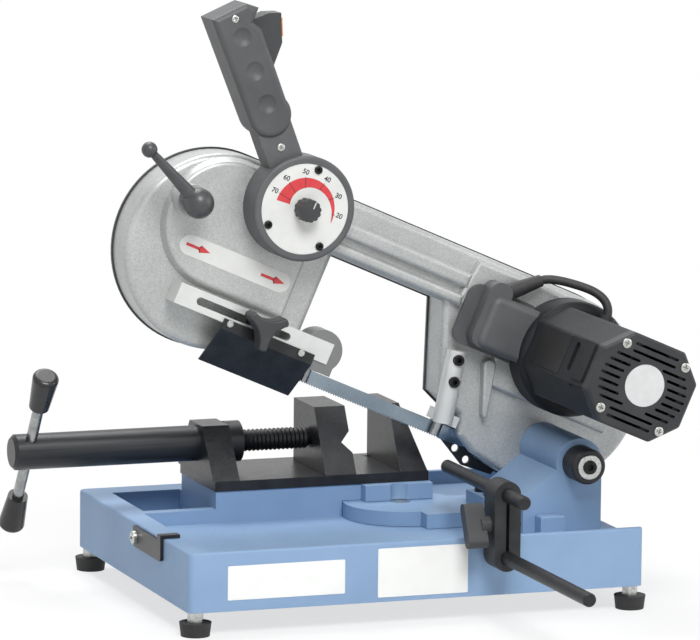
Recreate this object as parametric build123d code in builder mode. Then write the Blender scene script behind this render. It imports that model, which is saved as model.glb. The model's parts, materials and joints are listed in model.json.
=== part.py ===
"""Bench-top metal cutting band saw with a swivelling, hinged bow.

The model stands on the floor with its origin under the middle of the base: +X runs along the base
to the motor end, +Y away from the operator, +Z up. All lengths are in millimetres.

Pieces of the bow are drawn on planes that lean with it. On such a plane u runs from the idler wheel
to the drive wheel, v runs up from the cut, and (0, 0) is the hinge axis.
"""

import math
import os

from build123d import *

os.makedirs("parts", exist_ok=True)

# Clearances shared by all pieces
run_gap = 0.05
slide_gap = 0.3
seat_gap = 0.1

# Base casting and its feet
base_length = 420
base_depth = 320
base_bottom = 21
base_height = 52
base_corner = 6
rim_round = 2
base_wall = 6
tray_depth = 12
tray_floor = 5
left_rim = 20
front_rim = 5
back_rim = 9
mouth_back = 60
nub_length = 23
nub_depth = 14
nub_height = 17
pocket_length = 64
pocket_width = 92
pocket_depth = 40
foot_radius = 14
foot_height = 12
foot_inset = 9
foot_boss_radius = 8
foot_taper = 1.5
stud_radius = 4

# Vise: a bed plate on the pedestal, a stand, two jaws and a screw that runs into a turning tube
plate_length = 202
plate_width = 100
plate_thickness = 9
plate_left = -124
plate_front = 27
plate_bottom = 89
pedestal_overhang = 1
vise_height = 27
tube_radius = 16
tube_length = 212
stand_thickness = 25
screw_radius = 10
thread_pitch = 4
jaw_width = 88
jaw_height = 57
jaw_slope = 33
moving_jaw_length = 29
fixed_jaw_length = 26
jaw_gap = 42
jaw_vee = 9
tommy_radius = 5
tommy_length = 150
tommy_lean = 35.5
knob_length = 38
knob_radius = 12

# Swivel arm, bow bracket and hinge
swivel_x = 46
swivel_radius = 52
swivel_pin_radius = 9
arm_thickness = 13
arm_front = -55
arm_back = 24
arm_corner = 12
hinge_inset = 37.5
hinge_z = 122
hinge_pin_radius = 8
boss_radius = 21.6
boss_length = 88
bracket_run = 52.5
bracket_shoulder = 93
cap_radius = 16
cap_length = 24

# Bow: two wheel housings joined by a beam, closed at the back by a sheet cover
bow_lean = 23.5
blade_y = 12
blade_width = 13
blade_thickness = 0.65
wheel_radius = 72
wheel_width = 16
wheel_spacing = 343
drive_u = -12
wheel_v = 50
wheel_clearance = 15
bow_front = -10
bow_back = 26
casting_wall = 5
front_wall = 6
beam_bottom = 85.5
panel_rise = 10
drive_panel_rise = 6
cover_thickness = 3
cover_lip = 1.5
axle_radius = 7
hub_radius = 16
gear_teeth = 54
pinion_teeth = 12
gear_module = 1
gear_width = 5
gear_lean = 10

# Motor, switch box and lead
motor_root_radius = 52
motor_root_length = 32
motor_width = 95
motor_height = 84
motor_corner = 22
motor_length = 170
motor_bore = 36
end_cap_length = 14
lead_radius = 4

# Speed dial, pistol grip and trigger
dial_u = -313
dial_v = 113
dial_radius = 46.5
dial_face_radius = 40
dial_depth = 31
grip_turn = 43.7
grip_start = 88
grip_half_width = 19.5
grip_thickness = 38
stem_half_width = 16
trigger_width = 20
trigger_pivot_radius = 2

# Blade guides, tension lever and material stop
guide_bar_length = 154
guide_bar_height = 19
guide_bar_thickness = 24
guide_bar_left = -386
guide_bar_rise = 29.5
guide_slot_width = 7
left_guide_u = -231
right_guide_u = -94.5
roller_radius = 4.5
lever_back = 50
lever_rise = 32
lever_throw = 3
lever_length = 66
stop_x = 68
stop_rod_radius = 6
stop_low_z = 60
stop_spacing = 55
stop_low_length = 222
stop_high_front = -233
stop_high_back = -45

# Places that follow from the sizes above
rim_z = base_bottom + base_height
tray_z = rim_z - tray_depth
plate_top = plate_bottom + plate_thickness
plate_back = plate_front + plate_width
plate_right = plate_left + plate_length
vise_y = (plate_front + plate_back) / 2
vise_z = plate_top + vise_height
pedestal_top = plate_bottom
swivel_y = blade_y
arm_bottom = tray_z + slide_gap
arm_top = arm_bottom + arm_thickness
hinge_x = base_length / 2 - hinge_inset
bracket_left = hinge_x - bracket_run
boss_back = bow_front - slide_gap
boss_front = boss_back - boss_length
idler_u = drive_u - wheel_spacing
lever_u = idler_u - lever_back
lever_v = wheel_v + lever_rise
blade_loop_radius = wheel_radius + slide_gap
blade_v = wheel_v - blade_loop_radius - blade_thickness / 2
tooth_v = blade_v - blade_width / 2
housing_radius = wheel_radius + wheel_clearance
beam_top = wheel_v + housing_radius
panel_front = bow_front - panel_rise
pocket_front = bow_front + front_wall
gear_distance = gear_module * (gear_teeth + pinion_teeth) / 2
motor_u = drive_u - gear_distance * math.sin(math.radians(gear_lean))
motor_v = wheel_v + gear_distance * math.cos(math.radians(gear_lean))
motor_root = bow_front - drive_panel_rise
motor_end = motor_root - motor_length
dial_front = panel_front - dial_depth
grip_front = bow_front - grip_thickness
grip_middle = bow_front - grip_thickness / 2
guide_bar_back = bow_front - slide_gap
guide_bar_front = guide_bar_back - guide_bar_thickness
guide_bar_top = blade_v + blade_width / 2 + guide_bar_rise
guide_bar_v = guide_bar_top - guide_bar_height / 2
guide_bar_right = guide_bar_left + guide_bar_length
stop_high_z = stop_low_z + stop_spacing


def front_plane(x, y, z, lean):
    """Plane facing the operator at (x, y, z), with its x axis dipped by lean degrees."""
    tilt = math.radians(lean)
    return Plane(origin=(x, y, z), x_dir=(math.cos(tilt), 0, -math.sin(tilt)), z_dir=(0, -1, 0))


def bow_point(u, v):
    """World x and z of a place on the bow."""
    tilt = math.radians(bow_lean)
    across = hinge_x + u * math.cos(tilt) + v * math.sin(tilt)
    return across, hinge_z - u * math.sin(tilt) + v * math.cos(tilt)


def ring_place(u, v, ring, angle):
    """The point on a ring round (u, v) at an angle in degrees."""
    turn = math.radians(angle)
    return (u + ring * math.cos(turn), v + ring * math.sin(turn))


def bow_plane(y):
    """Sketch plane of the bow at depth y; extruding goes towards the operator."""
    return front_plane(hinge_x, y, hinge_z, bow_lean)


def side_plane(u, v, y):
    """Plane across the bow at (u, v): its x axis runs back, its y axis runs up the bow."""
    x, z = bow_point(u, v)
    tilt = math.radians(bow_lean)
    return Plane(origin=(x, y, z), x_dir=(0, 1, 0), z_dir=(math.cos(tilt), 0, -math.sin(tilt)))


def up_plane(u, v, y):
    """Plane square to the bow's v axis at (u, v), facing up the bow."""
    x, z = bow_point(u, v)
    tilt = math.radians(bow_lean)
    return Plane(origin=(x, y, z), x_dir=(0, 1, 0), z_dir=(math.sin(tilt), 0, math.cos(tilt)))


def along_plane(u, v, y, along_u, along_v):
    """Plane at (u, v, y) that faces along the direction (along_u, along_v) of the bow."""
    x, z = bow_point(u, v)
    tilt = math.radians(bow_lean)
    across = along_u * math.cos(tilt) + along_v * math.sin(tilt)
    up = along_v * math.cos(tilt) - along_u * math.sin(tilt)
    return Plane(origin=(x, y, z), x_dir=(0, 1, 0), z_dir=(across, 0, up))


def grip_plane(y):
    """Plane of the pistol grip at depth y: its origin is the dial, its y axis runs up the grip."""
    x, z = bow_point(dial_u, dial_v)
    return front_plane(x, y, z, bow_lean - grip_turn)


def save(piece, label):
    """Name a finished piece and write it to its own file."""
    piece.part.label = label
    export_step(piece.part, f"parts/{label}.step")


# Base casting: a shallow tray with a vise pedestal, a chip pocket and a round seat for the swivel arm
pedestal_length = plate_length - 2 * pedestal_overhang
pedestal_x = (plate_left + plate_right) / 2
pedestal_front = plate_front + pedestal_overhang
pedestal_width = plate_width - 2 * pedestal_overhang
pedestal_y = pedestal_front + pedestal_width / 2
tray_left = -base_length / 2 + left_rim
tray_right = base_length / 2 - front_rim
tray_front = -base_depth / 2 + front_rim
tray_back = base_depth / 2 - back_rim
pocket_right = plate_left + pedestal_overhang
pocket_x = pocket_right - pocket_length / 2
pocket_y = pedestal_front + base_wall * 2 + pocket_width / 2
pocket_z = rim_z - pocket_depth
anvil_front = pedestal_front - 12
anvil_length = 64
stop_boss_radius = stop_rod_radius + 6
hollow_top = tray_z - tray_floor
hollow_front = -base_depth / 2 + base_wall
hollow_back = base_depth / 2 - base_wall
hollow_left = -base_length / 2 + base_wall
hollow_right = base_length / 2 - base_wall
foot_places = [
    (side_x * (base_length / 2 - foot_inset), side_y * (base_depth / 2 - foot_inset))
    for side_x in (-1, 1)
    for side_y in (-1, 1)
]
with BuildPart() as base_casting:
    with BuildSketch(Plane.XY.offset(base_bottom)):
        RectangleRounded(base_length, base_depth, base_corner)
    extrude(amount=base_height)
    fillet(base_casting.faces().sort_by(Axis.Z)[-1].edges(), rim_round)
    with BuildSketch(Plane.XY.offset(tray_z)):
        with Locations(((tray_left + tray_right) / 2, (tray_front + pedestal_front) / 2)):
            Rectangle(tray_right - tray_left, pedestal_front - tray_front)
        with Locations(((plate_right + tray_right) / 2, (arm_front + tray_back) / 2)):
            Rectangle(tray_right - plate_right, tray_back - arm_front)
        with Locations((base_length / 2, (tray_front + mouth_back) / 2)):
            Rectangle(2 * front_rim, mouth_back - tray_front)
    extrude(amount=tray_depth, mode=Mode.SUBTRACT)
    with BuildSketch(Plane.XY.offset(tray_z)):
        with Locations((bracket_left + nub_length, boss_front - slide_gap - nub_depth / 2)):
            Rectangle(nub_length, nub_depth)
    extrude(amount=nub_height)
    fillet(base_casting.faces().filter_by(Axis.Z).group_by(Axis.Z)[-1].edges(), rim_round)
    with BuildSketch(Plane.XY.offset(pocket_z)):
        with Locations((pocket_x, pocket_y)):
            Rectangle(pocket_length, pocket_width)
    extrude(amount=pocket_depth, mode=Mode.SUBTRACT)
    with BuildSketch(Plane.XY.offset(base_bottom)):
        with Locations(((hollow_left + hollow_right) / 2, (hollow_front + pedestal_front) / 2)):
            Rectangle(hollow_right - hollow_left, pedestal_front - hollow_front)
        with Locations(((pocket_right + base_wall + hollow_right) / 2, (hollow_front + hollow_back) / 2)):
            Rectangle(hollow_right - pocket_right - base_wall, hollow_back - hollow_front)
    extrude(amount=hollow_top - base_bottom, mode=Mode.SUBTRACT)
    with BuildSketch(Plane.XY.offset(tray_z)):
        with Locations((pedestal_x, pedestal_y)):
            Rectangle(pedestal_length, pedestal_width)
    extrude(amount=pedestal_top - tray_z)
    with BuildSketch(Plane.XY.offset(tray_z)):
        with Locations((swivel_x, (anvil_front + pedestal_front) / 2)):
            Rectangle(anvil_length, pedestal_front - anvil_front)
    extrude(amount=pedestal_top - tray_z)
    with BuildSketch(Plane.XY.offset(tray_z)):
        with Locations((swivel_x, swivel_y)):
            Circle(swivel_radius + slide_gap)
    extrude(amount=arm_thickness + 2 * slide_gap, mode=Mode.SUBTRACT)
    with BuildSketch(Plane.XY.offset(base_bottom)):
        with Locations((swivel_x, swivel_y)):
            Circle(swivel_pin_radius * 2)
    extrude(amount=tray_z - base_bottom)
    with BuildSketch(Plane.XY.offset(base_bottom)):
        with Locations(*foot_places):
            Circle(foot_boss_radius)
    extrude(amount=hollow_top - base_bottom)
    with BuildSketch(Plane.XZ.offset(-hollow_front)):
        with Locations((stop_x, stop_low_z)):
            Circle(stop_boss_radius)
    extrude(amount=-base_wall * 3)
    with BuildSketch(Plane.XY.offset(pedestal_top)):
        with Locations((swivel_x, swivel_y)):
            Circle(swivel_pin_radius + seat_gap)
    extrude(amount=base_bottom - pedestal_top, mode=Mode.SUBTRACT)
    with BuildSketch(Plane.XZ.offset(base_depth / 2)):
        with Locations((stop_x, stop_low_z)):
            Circle(stop_rod_radius)
    extrude(amount=-base_wall * 4, mode=Mode.SUBTRACT)
    with BuildSketch(Plane.XY.offset(base_bottom)):
        with Locations(*foot_places):
            Circle(stud_radius)
    extrude(amount=foot_height, mode=Mode.SUBTRACT)
save(base_casting, "base_casting")

# Rubber feet: four tapered pads, each moulded round the foot of a threaded stud
with BuildPart() as rubber_feet:
    with BuildSketch(Plane.XY):
        with Locations(*foot_places):
            Circle(foot_radius - foot_taper)
    extrude(amount=foot_height, taper=-math.degrees(math.atan2(foot_taper, foot_height)))
    with BuildSketch(Plane.XY.offset(foot_height)):
        with Locations(*foot_places):
            Circle(stud_radius)
    extrude(amount=-foot_height / 2, mode=Mode.SUBTRACT)
save(rubber_feet, "rubber_feet")

nut_height = base_bottom - foot_height
with BuildPart() as foot_studs:
    with BuildSketch(Plane.XY.offset(foot_height / 2)):
        with Locations(*foot_places):
            Circle(stud_radius)
    extrude(amount=base_bottom + foot_height - foot_height / 2)
    with BuildSketch(Plane.XY.offset(foot_height)):
        with Locations(*foot_places):
            RegularPolygon(stud_radius * 1.8, 6)
    extrude(amount=nut_height)
save(foot_studs, "foot_studs")

# Vise bed plate with countersunk screws into the pedestal
screw_inset = 14
bed_screw_radius = 4
bed_screws = [
    (x, y)
    for x in (plate_left + 3 * screw_inset, plate_right - 2 * screw_inset)
    for y in (plate_back - screw_inset,)
]
with BuildPart() as vise_plate:
    with BuildSketch(Plane.XY.offset(plate_bottom)):
        with Locations((pedestal_x, (plate_front + plate_back) / 2)):
            Rectangle(plate_length, plate_width)
    extrude(amount=plate_thickness)
    with BuildSketch(Plane.XY.offset(plate_top)):
        with Locations(*bed_screws):
            Circle(bed_screw_radius)
    extrude(amount=-plate_thickness, mode=Mode.SUBTRACT)
save(vise_plate, "vise_plate")

# Vise stand: a leaning block across the bed, bored for the tube
stand_left = plate_left - 2
stand_right = stand_left + stand_thickness
stand_top = vise_z + tube_radius + 2
stand_shoulder = tube_radius + 2
with BuildPart() as vise_stand:
    with BuildSketch(Plane.YZ.offset(stand_left)):
        with BuildLine():
            Polyline(
                (plate_front, plate_top),
                (vise_y - stand_shoulder, stand_top),
                (vise_y + stand_shoulder, stand_top),
                (plate_back, plate_top),
                close=True,
            )
        make_face()
        with Locations((vise_y, vise_z)):
            Circle(tube_radius + run_gap, mode=Mode.SUBTRACT)
    extrude(amount=stand_thickness)
save(vise_stand, "vise_stand")

# Vise tube: it turns in the stand, and its threaded end draws the screw in
tube_right = stand_right + 15
tube_left = tube_right - tube_length
tommy_x = tube_left + tube_radius
tube_chamfer = 3
collar_gap = slide_gap
collar_radius = tube_radius + 2.5


def tommy_plane(reach):
    """Plane square to the tommy bar, reach along it from the tube's axis."""
    lean = math.radians(tommy_lean)
    along = Vector(0, -math.sin(lean), math.cos(lean))
    return Plane(origin=Vector(tommy_x, vise_y, vise_z) + along * reach, x_dir=(1, 0, 0), z_dir=along)


with BuildPart() as vise_tube:
    with BuildSketch(Plane.YZ.offset(tube_left)):
        with Locations((vise_y, vise_z)):
            Circle(tube_radius)
    extrude(amount=tube_length)
    chamfer(vise_tube.edges().filter_by(GeomType.CIRCLE).sort_by(Axis.X)[0], tube_chamfer)
    with BuildSketch(Plane.YZ.offset(tube_right)):
        with Locations((vise_y, vise_z)):
            Circle(screw_radius + slide_gap)
    extrude(amount=-tube_length + 3 * tube_radius, mode=Mode.SUBTRACT)
    with BuildSketch(tommy_plane(0)):
        Circle(tommy_radius)
    extrude(amount=tube_radius * 2, both=True, mode=Mode.SUBTRACT)
    with BuildSketch(Plane.YZ.offset(stand_right + collar_gap)):
        with Locations((vise_y, vise_z)):
            Circle(collar_radius)
            Circle(tube_radius, mode=Mode.SUBTRACT)
    extrude(amount=tube_right - stand_right - collar_gap)
save(vise_tube, "vise_tube")

# Tommy bar with a moulded knob on each end
tommy_reach = tommy_length / 2
with BuildPart() as tommy_bar:
    with BuildSketch(tommy_plane(-tommy_reach)):
        Circle(tommy_radius)
    extrude(amount=tommy_length)
save(tommy_bar, "tommy_bar")

knob_overlap = knob_length / 2
with BuildPart() as tommy_knobs:
    for end in (-1, 1):
        with BuildSketch(tommy_plane(end * (tommy_reach - knob_overlap))):
            Circle(knob_radius * 0.75)
        with BuildSketch(tommy_plane(end * (tommy_reach - knob_overlap + knob_length))):
            Circle(knob_radius)
        loft()
    fillet(tommy_knobs.edges().filter_by(GeomType.CIRCLE).group_by(SortBy.RADIUS)[-1], knob_radius / 3)
    for end in (-1, 1):
        with BuildSketch(tommy_plane(end * (tommy_reach - knob_overlap))):
            Circle(tommy_radius)
        extrude(amount=end * knob_overlap, mode=Mode.SUBTRACT)
save(tommy_knobs, "tommy_knobs")

# Jaws: the fixed one stands at the bed's right end, the moving one has a vee for round bars
fixed_jaw_right = plate_right - pedestal_overhang
fixed_jaw_left = fixed_jaw_right - fixed_jaw_length
moving_jaw_right = fixed_jaw_left - jaw_gap
moving_jaw_left = moving_jaw_right - moving_jaw_length
jaw_bottom = plate_top + seat_gap
jaw_top = jaw_bottom + jaw_height
jaw_back = plate_front + jaw_width
nose_radius = 6.5
nose_depth = 14


def draw_jaw(bottom):
    """Draw a jaw's side in the sketch being built: a block whose front leans back."""
    Polygon(
        (plate_front, bottom),
        (plate_front + jaw_slope, jaw_top),
        (jaw_back, jaw_top),
        (jaw_back, bottom),
        align=None,
    )


with BuildPart() as moving_jaw:
    with BuildSketch(Plane.YZ.offset(moving_jaw_left)):
        draw_jaw(jaw_bottom)
    extrude(amount=moving_jaw_length)
    with BuildSketch(Plane.XZ.offset(-jaw_back)):
        with BuildLine():
            Polyline(
                (moving_jaw_right, vise_z - jaw_vee),
                (moving_jaw_right - jaw_vee, vise_z),
                (moving_jaw_right, vise_z + jaw_vee),
                close=True,
            )
        make_face()
    extrude(amount=jaw_width, mode=Mode.SUBTRACT)
    with BuildSketch(Plane.YZ.offset(moving_jaw_left)):
        with Locations((vise_y, vise_z)):
            Circle(nose_radius)
    extrude(amount=nose_depth, mode=Mode.SUBTRACT)
save(moving_jaw, "moving_jaw")

fixed_jaw_taper = 16
with BuildPart() as fixed_jaw:
    with BuildSketch(Plane.YZ.offset(fixed_jaw_left)):
        draw_jaw(plate_top)
    extrude(amount=fixed_jaw_length)
    with BuildSketch(Plane.XZ.offset(-jaw_back)):
        with BuildLine():
            Polyline(
                (fixed_jaw_right, plate_top),
                (fixed_jaw_right, jaw_top),
                (fixed_jaw_right - fixed_jaw_taper, jaw_top),
                close=True,
            )
        make_face()
    extrude(amount=jaw_width, mode=Mode.SUBTRACT)
save(fixed_jaw, "fixed_jaw")

# Vise screw: it slides in the tube and pushes the moving jaw with its plain nose
screw_reach = 75
screw_left = tube_right - screw_reach
thread_depth = 1.2
thread_left = tube_right + slide_gap
thread_turns = int((moving_jaw_left - thread_left) / thread_pitch)
thread_right = thread_left + thread_turns * thread_pitch
root_z = vise_z + screw_radius - thread_depth
thread_line = [
    (thread_left + (turn + half / 2) * thread_pitch, root_z + thread_depth * half)
    for turn in range(thread_turns)
    for half in (0, 1)
]
with BuildPart() as vise_screw:
    with BuildSketch(Plane.XZ.offset(-vise_y)):
        with BuildLine():
            Polyline(
                (screw_left, vise_z),
                (screw_left, root_z),
                *thread_line,
                (thread_right, root_z),
                (thread_right, vise_z + nose_radius),
                (moving_jaw_left + nose_depth, vise_z + nose_radius),
                (moving_jaw_left + nose_depth, vise_z),
                close=True,
            )
        make_face()
    revolve(axis=Axis((0, vise_y, vise_z), (1, 0, 0)))
save(vise_screw, "vise_screw")

# Latch strip on the base's left wall, hooked over the rim and held by one screw
latch_thickness = 3
latch_height = 18
latch_length = 78
latch_setback = 148
latch_back = -base_depth / 2 + latch_setback
latch_front = latch_back - latch_length
latch_hook = 15
latch_round = 4
latch_x = -base_length / 2 - seat_gap
latch_top = rim_z - 2
latch_screw_y = latch_back - 8
latch_screw_z = latch_top - latch_height / 2
latch_screw_radius = 3
with BuildPart() as latch:
    with BuildSketch(Plane.YZ.offset(latch_x)):
        with BuildLine():
            Polyline(
                (latch_back, latch_top),
                (latch_back, latch_top - latch_height),
                (latch_front, latch_top - latch_height),
                (latch_front, rim_z + slide_gap + latch_thickness),
                (latch_front + latch_height / 2, rim_z + slide_gap + latch_thickness),
                (latch_front + latch_height / 2, latch_top),
                close=True,
            )
        make_face()
        with Locations((latch_screw_y, latch_screw_z)):
            Circle(latch_screw_radius + run_gap, mode=Mode.SUBTRACT)
    extrude(amount=-latch_thickness)
    fillet(latch.edges().filter_by(Axis.X).group_by(Axis.Z)[0], latch_round)
    with BuildSketch(Plane.XY.offset(rim_z + slide_gap)):
        with Locations((latch_x + latch_hook / 2, latch_front + latch_height / 4)):
            Rectangle(latch_hook, latch_height / 2)
    extrude(amount=latch_thickness)
save(latch, "latch")

with BuildPart() as base_screws:
    with BuildSketch(Plane.XY.offset(plate_bottom)):
        with Locations(*bed_screws):
            Circle(bed_screw_radius)
    extrude(amount=plate_thickness - seat_gap)
    with BuildSketch(Plane.XY.offset(plate_top - seat_gap)):
        with Locations(*bed_screws):
            RegularPolygon(bed_screw_radius * 0.6, 6)
    extrude(amount=-bed_screw_radius, mode=Mode.SUBTRACT)
    with BuildSketch(Plane.YZ.offset(-base_length / 2)):
        with Locations((latch_screw_y, latch_screw_z)):
            Circle(latch_screw_radius)
    extrude(amount=-latch_thickness - 2 * seat_gap)
    with BuildSketch(Plane.YZ.offset(-base_length / 2 - latch_thickness - 2 * seat_gap)):
        with Locations((latch_screw_y, latch_screw_z)):
            Circle(latch_screw_radius * 1.9)
    extrude(amount=-latch_screw_radius)
save(base_screws, "base_screws")

# Material stop: a rod in the base's front wall, a split clamp on it and a second rod at bar height
stop_low_front = -base_depth / 2 - stop_low_length
with BuildPart() as stop_rod_low:
    with BuildSketch(Plane.XZ.offset(-stop_low_front)):
        with Locations((stop_x, stop_low_z)):
            Circle(stop_rod_radius)
    extrude(amount=-stop_low_length - base_wall * 3)
    chamfer(stop_rod_low.edges().filter_by(GeomType.CIRCLE).sort_by(Axis.Y)[0], 1)
save(stop_rod_low, "stop_rod_low")

with BuildPart() as stop_rod_high:
    with BuildSketch(Plane.XZ.offset(-stop_high_front)):
        with Locations((stop_x, stop_high_z)):
            Circle(stop_rod_radius)
    extrude(amount=-(stop_high_back - stop_high_front))
    chamfer(stop_rod_high.edges().filter_by(GeomType.CIRCLE), 1)
save(stop_rod_high, "stop_rod_high")

clamp_depth = 26
clamp_back = -base_depth / 2 - 8
clamp_front = clamp_back - clamp_depth
clamp_width = 24
clamp_z = (stop_low_z + stop_high_z) / 2
clamp_slit = 3
wing_y = (clamp_front + clamp_back) / 2
wing_stud_radius = 4
with BuildPart() as stop_clamp:
    with BuildSketch(Plane.XZ.offset(-clamp_back)):
        with Locations((stop_x, clamp_z)):
            SlotCenterToCenter(stop_spacing, clamp_width, rotation=90)
            Rectangle(clamp_slit, stop_spacing, mode=Mode.SUBTRACT)
        with Locations((stop_x, stop_low_z), (stop_x, stop_high_z)):
            Circle(stop_rod_radius + run_gap, mode=Mode.SUBTRACT)
    extrude(amount=clamp_depth)
    with BuildSketch(Plane.YZ.offset(stop_x - clamp_width / 2)):
        with Locations((wing_y, clamp_z)):
            Circle(wing_stud_radius + run_gap)
    extrude(amount=clamp_width, mode=Mode.SUBTRACT)
save(stop_clamp, "stop_clamp")

wing_left = stop_x - clamp_width / 2 - slide_gap
wing_length = 18
wing_span = 40
with BuildPart() as wing_knob:
    with BuildSketch(Plane.YZ.offset(wing_left)):
        with Locations((wing_y, clamp_z)):
            Circle(wing_stud_radius * 2)
    extrude(amount=-wing_length / 2)
    with BuildSketch(Plane.YZ.offset(wing_left - wing_length / 4)):
        with Locations((wing_y, clamp_z)):
            SlotOverall(wing_span, wing_length * 0.6, rotation=65)
    extrude(amount=-wing_length)
    with BuildSketch(Plane.YZ.offset(wing_left)):
        with Locations((wing_y, clamp_z)):
            Circle(wing_stud_radius)
    extrude(amount=clamp_width + slide_gap + wing_stud_radius)
save(wing_knob, "wing_knob")

# Swivel arm: a round plate on the base's pivot with a deck that carries the bow bracket
bracket_right = hinge_x + boss_radius
with BuildPart() as swivel_arm:
    with BuildSketch(Plane.XY.offset(arm_bottom)):
        with Locations((swivel_x, swivel_y)):
            Circle(swivel_radius)
        Polygon(
            (swivel_x, arm_front),
            (bracket_right - arm_corner, arm_front),
            (bracket_right, arm_front + arm_corner),
            (bracket_right, arm_back),
            (swivel_x, arm_back),
            align=None,
        )
        with Locations((swivel_x, swivel_y)):
            Circle(swivel_pin_radius + run_gap, mode=Mode.SUBTRACT)
    extrude(amount=arm_thickness)
save(swivel_arm, "swivel_arm")

with BuildPart() as swivel_pin:
    with BuildSketch(Plane.XY.offset(base_bottom)):
        with Locations((swivel_x, swivel_y)):
            Circle(swivel_pin_radius)
    extrude(amount=arm_top - base_bottom)
    with BuildSketch(Plane.XY.offset(base_bottom)):
        with Locations((swivel_x, swivel_y)):
            RegularPolygon(swivel_pin_radius * 1.7, 6)
    extrude(amount=-swivel_pin_radius)
save(swivel_pin, "swivel_pin")

# Bow bracket: a web with the long hinge boss on top, bolted to the swivel arm
flange_thickness = 12
bolt_radius = 4
bracket_bolts = [(bracket_left - 10, boss_front + boss_length * share) for share in (0.6, 0.85)]
with BuildPart() as bow_bracket:
    with BuildSketch(Plane.XZ.offset(-boss_back)):
        with BuildLine():
            Polyline(
                (bracket_left, arm_top),
                (bracket_right, arm_top),
                (bracket_right, hinge_z),
                (hinge_x - boss_radius * 0.6, hinge_z),
                (bracket_left, bracket_shoulder),
                close=True,
            )
        make_face()
        with Locations((hinge_x, hinge_z)):
            Circle(boss_radius)
    extrude(amount=boss_length)
    with BuildSketch(Plane.XY.offset(arm_top)):
        with Locations(((bracket_left + bracket_right) / 2, (boss_front + arm_front - seat_gap) / 2)):
            Rectangle(bracket_right - bracket_left, arm_front - seat_gap - boss_front)
    extrude(amount=-arm_thickness)
    with BuildSketch(Plane.XY.offset(arm_top)):
        with Locations((bracket_left - 8, boss_back - boss_length / 4)):
            Rectangle(24, boss_length / 2)
    extrude(amount=flange_thickness)
    with BuildSketch(Plane.XZ.offset(-boss_back)):
        with Locations((hinge_x, hinge_z)):
            Circle(hinge_pin_radius + run_gap)
    extrude(amount=boss_length, mode=Mode.SUBTRACT)
    with BuildSketch(Plane.XY.offset(arm_top + flange_thickness)):
        with Locations(*bracket_bolts):
            Circle(bolt_radius)
    extrude(amount=-flange_thickness, mode=Mode.SUBTRACT)
save(bow_bracket, "bow_bracket")

with BuildPart() as bracket_screws:
    with BuildSketch(Plane.XY.offset(arm_top)):
        with Locations(*bracket_bolts):
            Circle(bolt_radius)
    extrude(amount=flange_thickness)
    with BuildSketch(Plane.XY.offset(arm_top + flange_thickness)):
        with Locations(*bracket_bolts):
            Circle(bolt_radius * 1.6)
    extrude(amount=bolt_radius * 1.6)
    with BuildSketch(Plane.XY.offset(arm_top + flange_thickness + bolt_radius * 1.6)):
        with Locations(*bracket_bolts):
            RegularPolygon(bolt_radius * 0.8, 6)
    extrude(amount=-bolt_radius, mode=Mode.SUBTRACT)
save(bracket_screws, "bracket_screws")

# Hinge pin, pressed into the bow and turning in the bracket's boss, with a cap on its front end
pin_seat = 7
pin_back = pocket_front + pin_seat
cap_back = boss_front - slide_gap
cap_front = cap_back - cap_length
cap_wall = 6
cap_screw_radius = 3
with BuildPart() as hinge_pin:
    with BuildSketch(bow_plane(pin_back)):
        Circle(hinge_pin_radius)
    extrude(amount=pin_back - cap_front - cap_wall)
save(hinge_pin, "hinge_pin")

with BuildPart() as hinge_cap:
    with BuildSketch(bow_plane(cap_back)):
        Circle(cap_radius)
    extrude(amount=cap_length)
    fillet(hinge_cap.edges().filter_by(GeomType.CIRCLE).sort_by(Axis.Y)[0], cap_radius / 5)
    with BuildSketch(bow_plane(cap_back)):
        Circle(hinge_pin_radius)
    extrude(amount=cap_length - cap_wall, mode=Mode.SUBTRACT)
    with BuildSketch(bow_plane(cap_back)):
        Circle(cap_screw_radius)
    extrude(amount=cap_length, mode=Mode.SUBTRACT)
save(hinge_cap, "hinge_cap")

# Bow casting: a deep tray with raised panels in front, open at the back for the wheels
idler_cheek = -296
cheek_bottom = -6
throat_left = -256
throat_corner = 7
drive_cheek = [(-142, beam_bottom), (-111, 7), (-86, -3), (-79, -20), (-60, -30), (-35, -33.9)]
drive_panel = [
    (-128, 133),
    (-134, 95),
    (-108, 64),
    (-80, 56),
    (-72, 30),
    (50, 30),
    (66, 60),
    (50, 108),
    (8, 133),
]
idler_panel = (-362, 74)
idler_panel_radius = 60
idler_panel_right = -278
panel_slope = 20
panel_round = 4
drive_panel_slope = 15
drive_panel_round = 3
body_round = 6
relief_root = front_wall / 2
rib_left = idler_panel_right - 8
rib_right = -128
rib_rise = 8
rib_round = 4.5
rib_bands = [(87.5, 98), (104, 118)]
drop_head = (-80, 48)
drop_tip = (-66.5, 6)
drop_head_radius = 6
drop_tip_radius = 2.5
drop_rise = 9
drop_round = 2
pinion_hole = 7.6
lever_boss_radius = 14.5
lever_boss_length = 15
lever_shaft_radius = 6
rail_left = idler_u - 65
rail_right = idler_u + 25
rail_bottom = wheel_v - 20
rail_top = wheel_v + 45
rail_height = 5
rail_depth = 6
rail_inset = 12
guide_stud_u = -305
slot_length = 46
idler_slot_u = idler_u + math.sqrt(housing_radius**2 - (wheel_v - blade_v) ** 2)
guide_stud_radius = 3
cover_boss_radius = 4
cover_screw_radius = 2
cover_screw_length = 12
screw_head_radius = 3.6
screw_head_height = 2
cover_boss_ring = housing_radius - casting_wall - cover_boss_radius / 2
idler_bosses = [ring_place(idler_u, wheel_v, cover_boss_ring, angle) for angle in (125, 180, 235)]
drive_bosses = [ring_place(drive_u, wheel_v, cover_boss_ring, angle) for angle in (60, 5, -50)]
beam_boss_v = beam_bottom + casting_wall + cover_boss_radius / 2
beam_bosses = [(throat_left + 20, beam_boss_v), (drive_cheek[0][0] - 20, beam_boss_v)]
cover_bosses = idler_bosses + drive_bosses + beam_bosses


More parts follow.
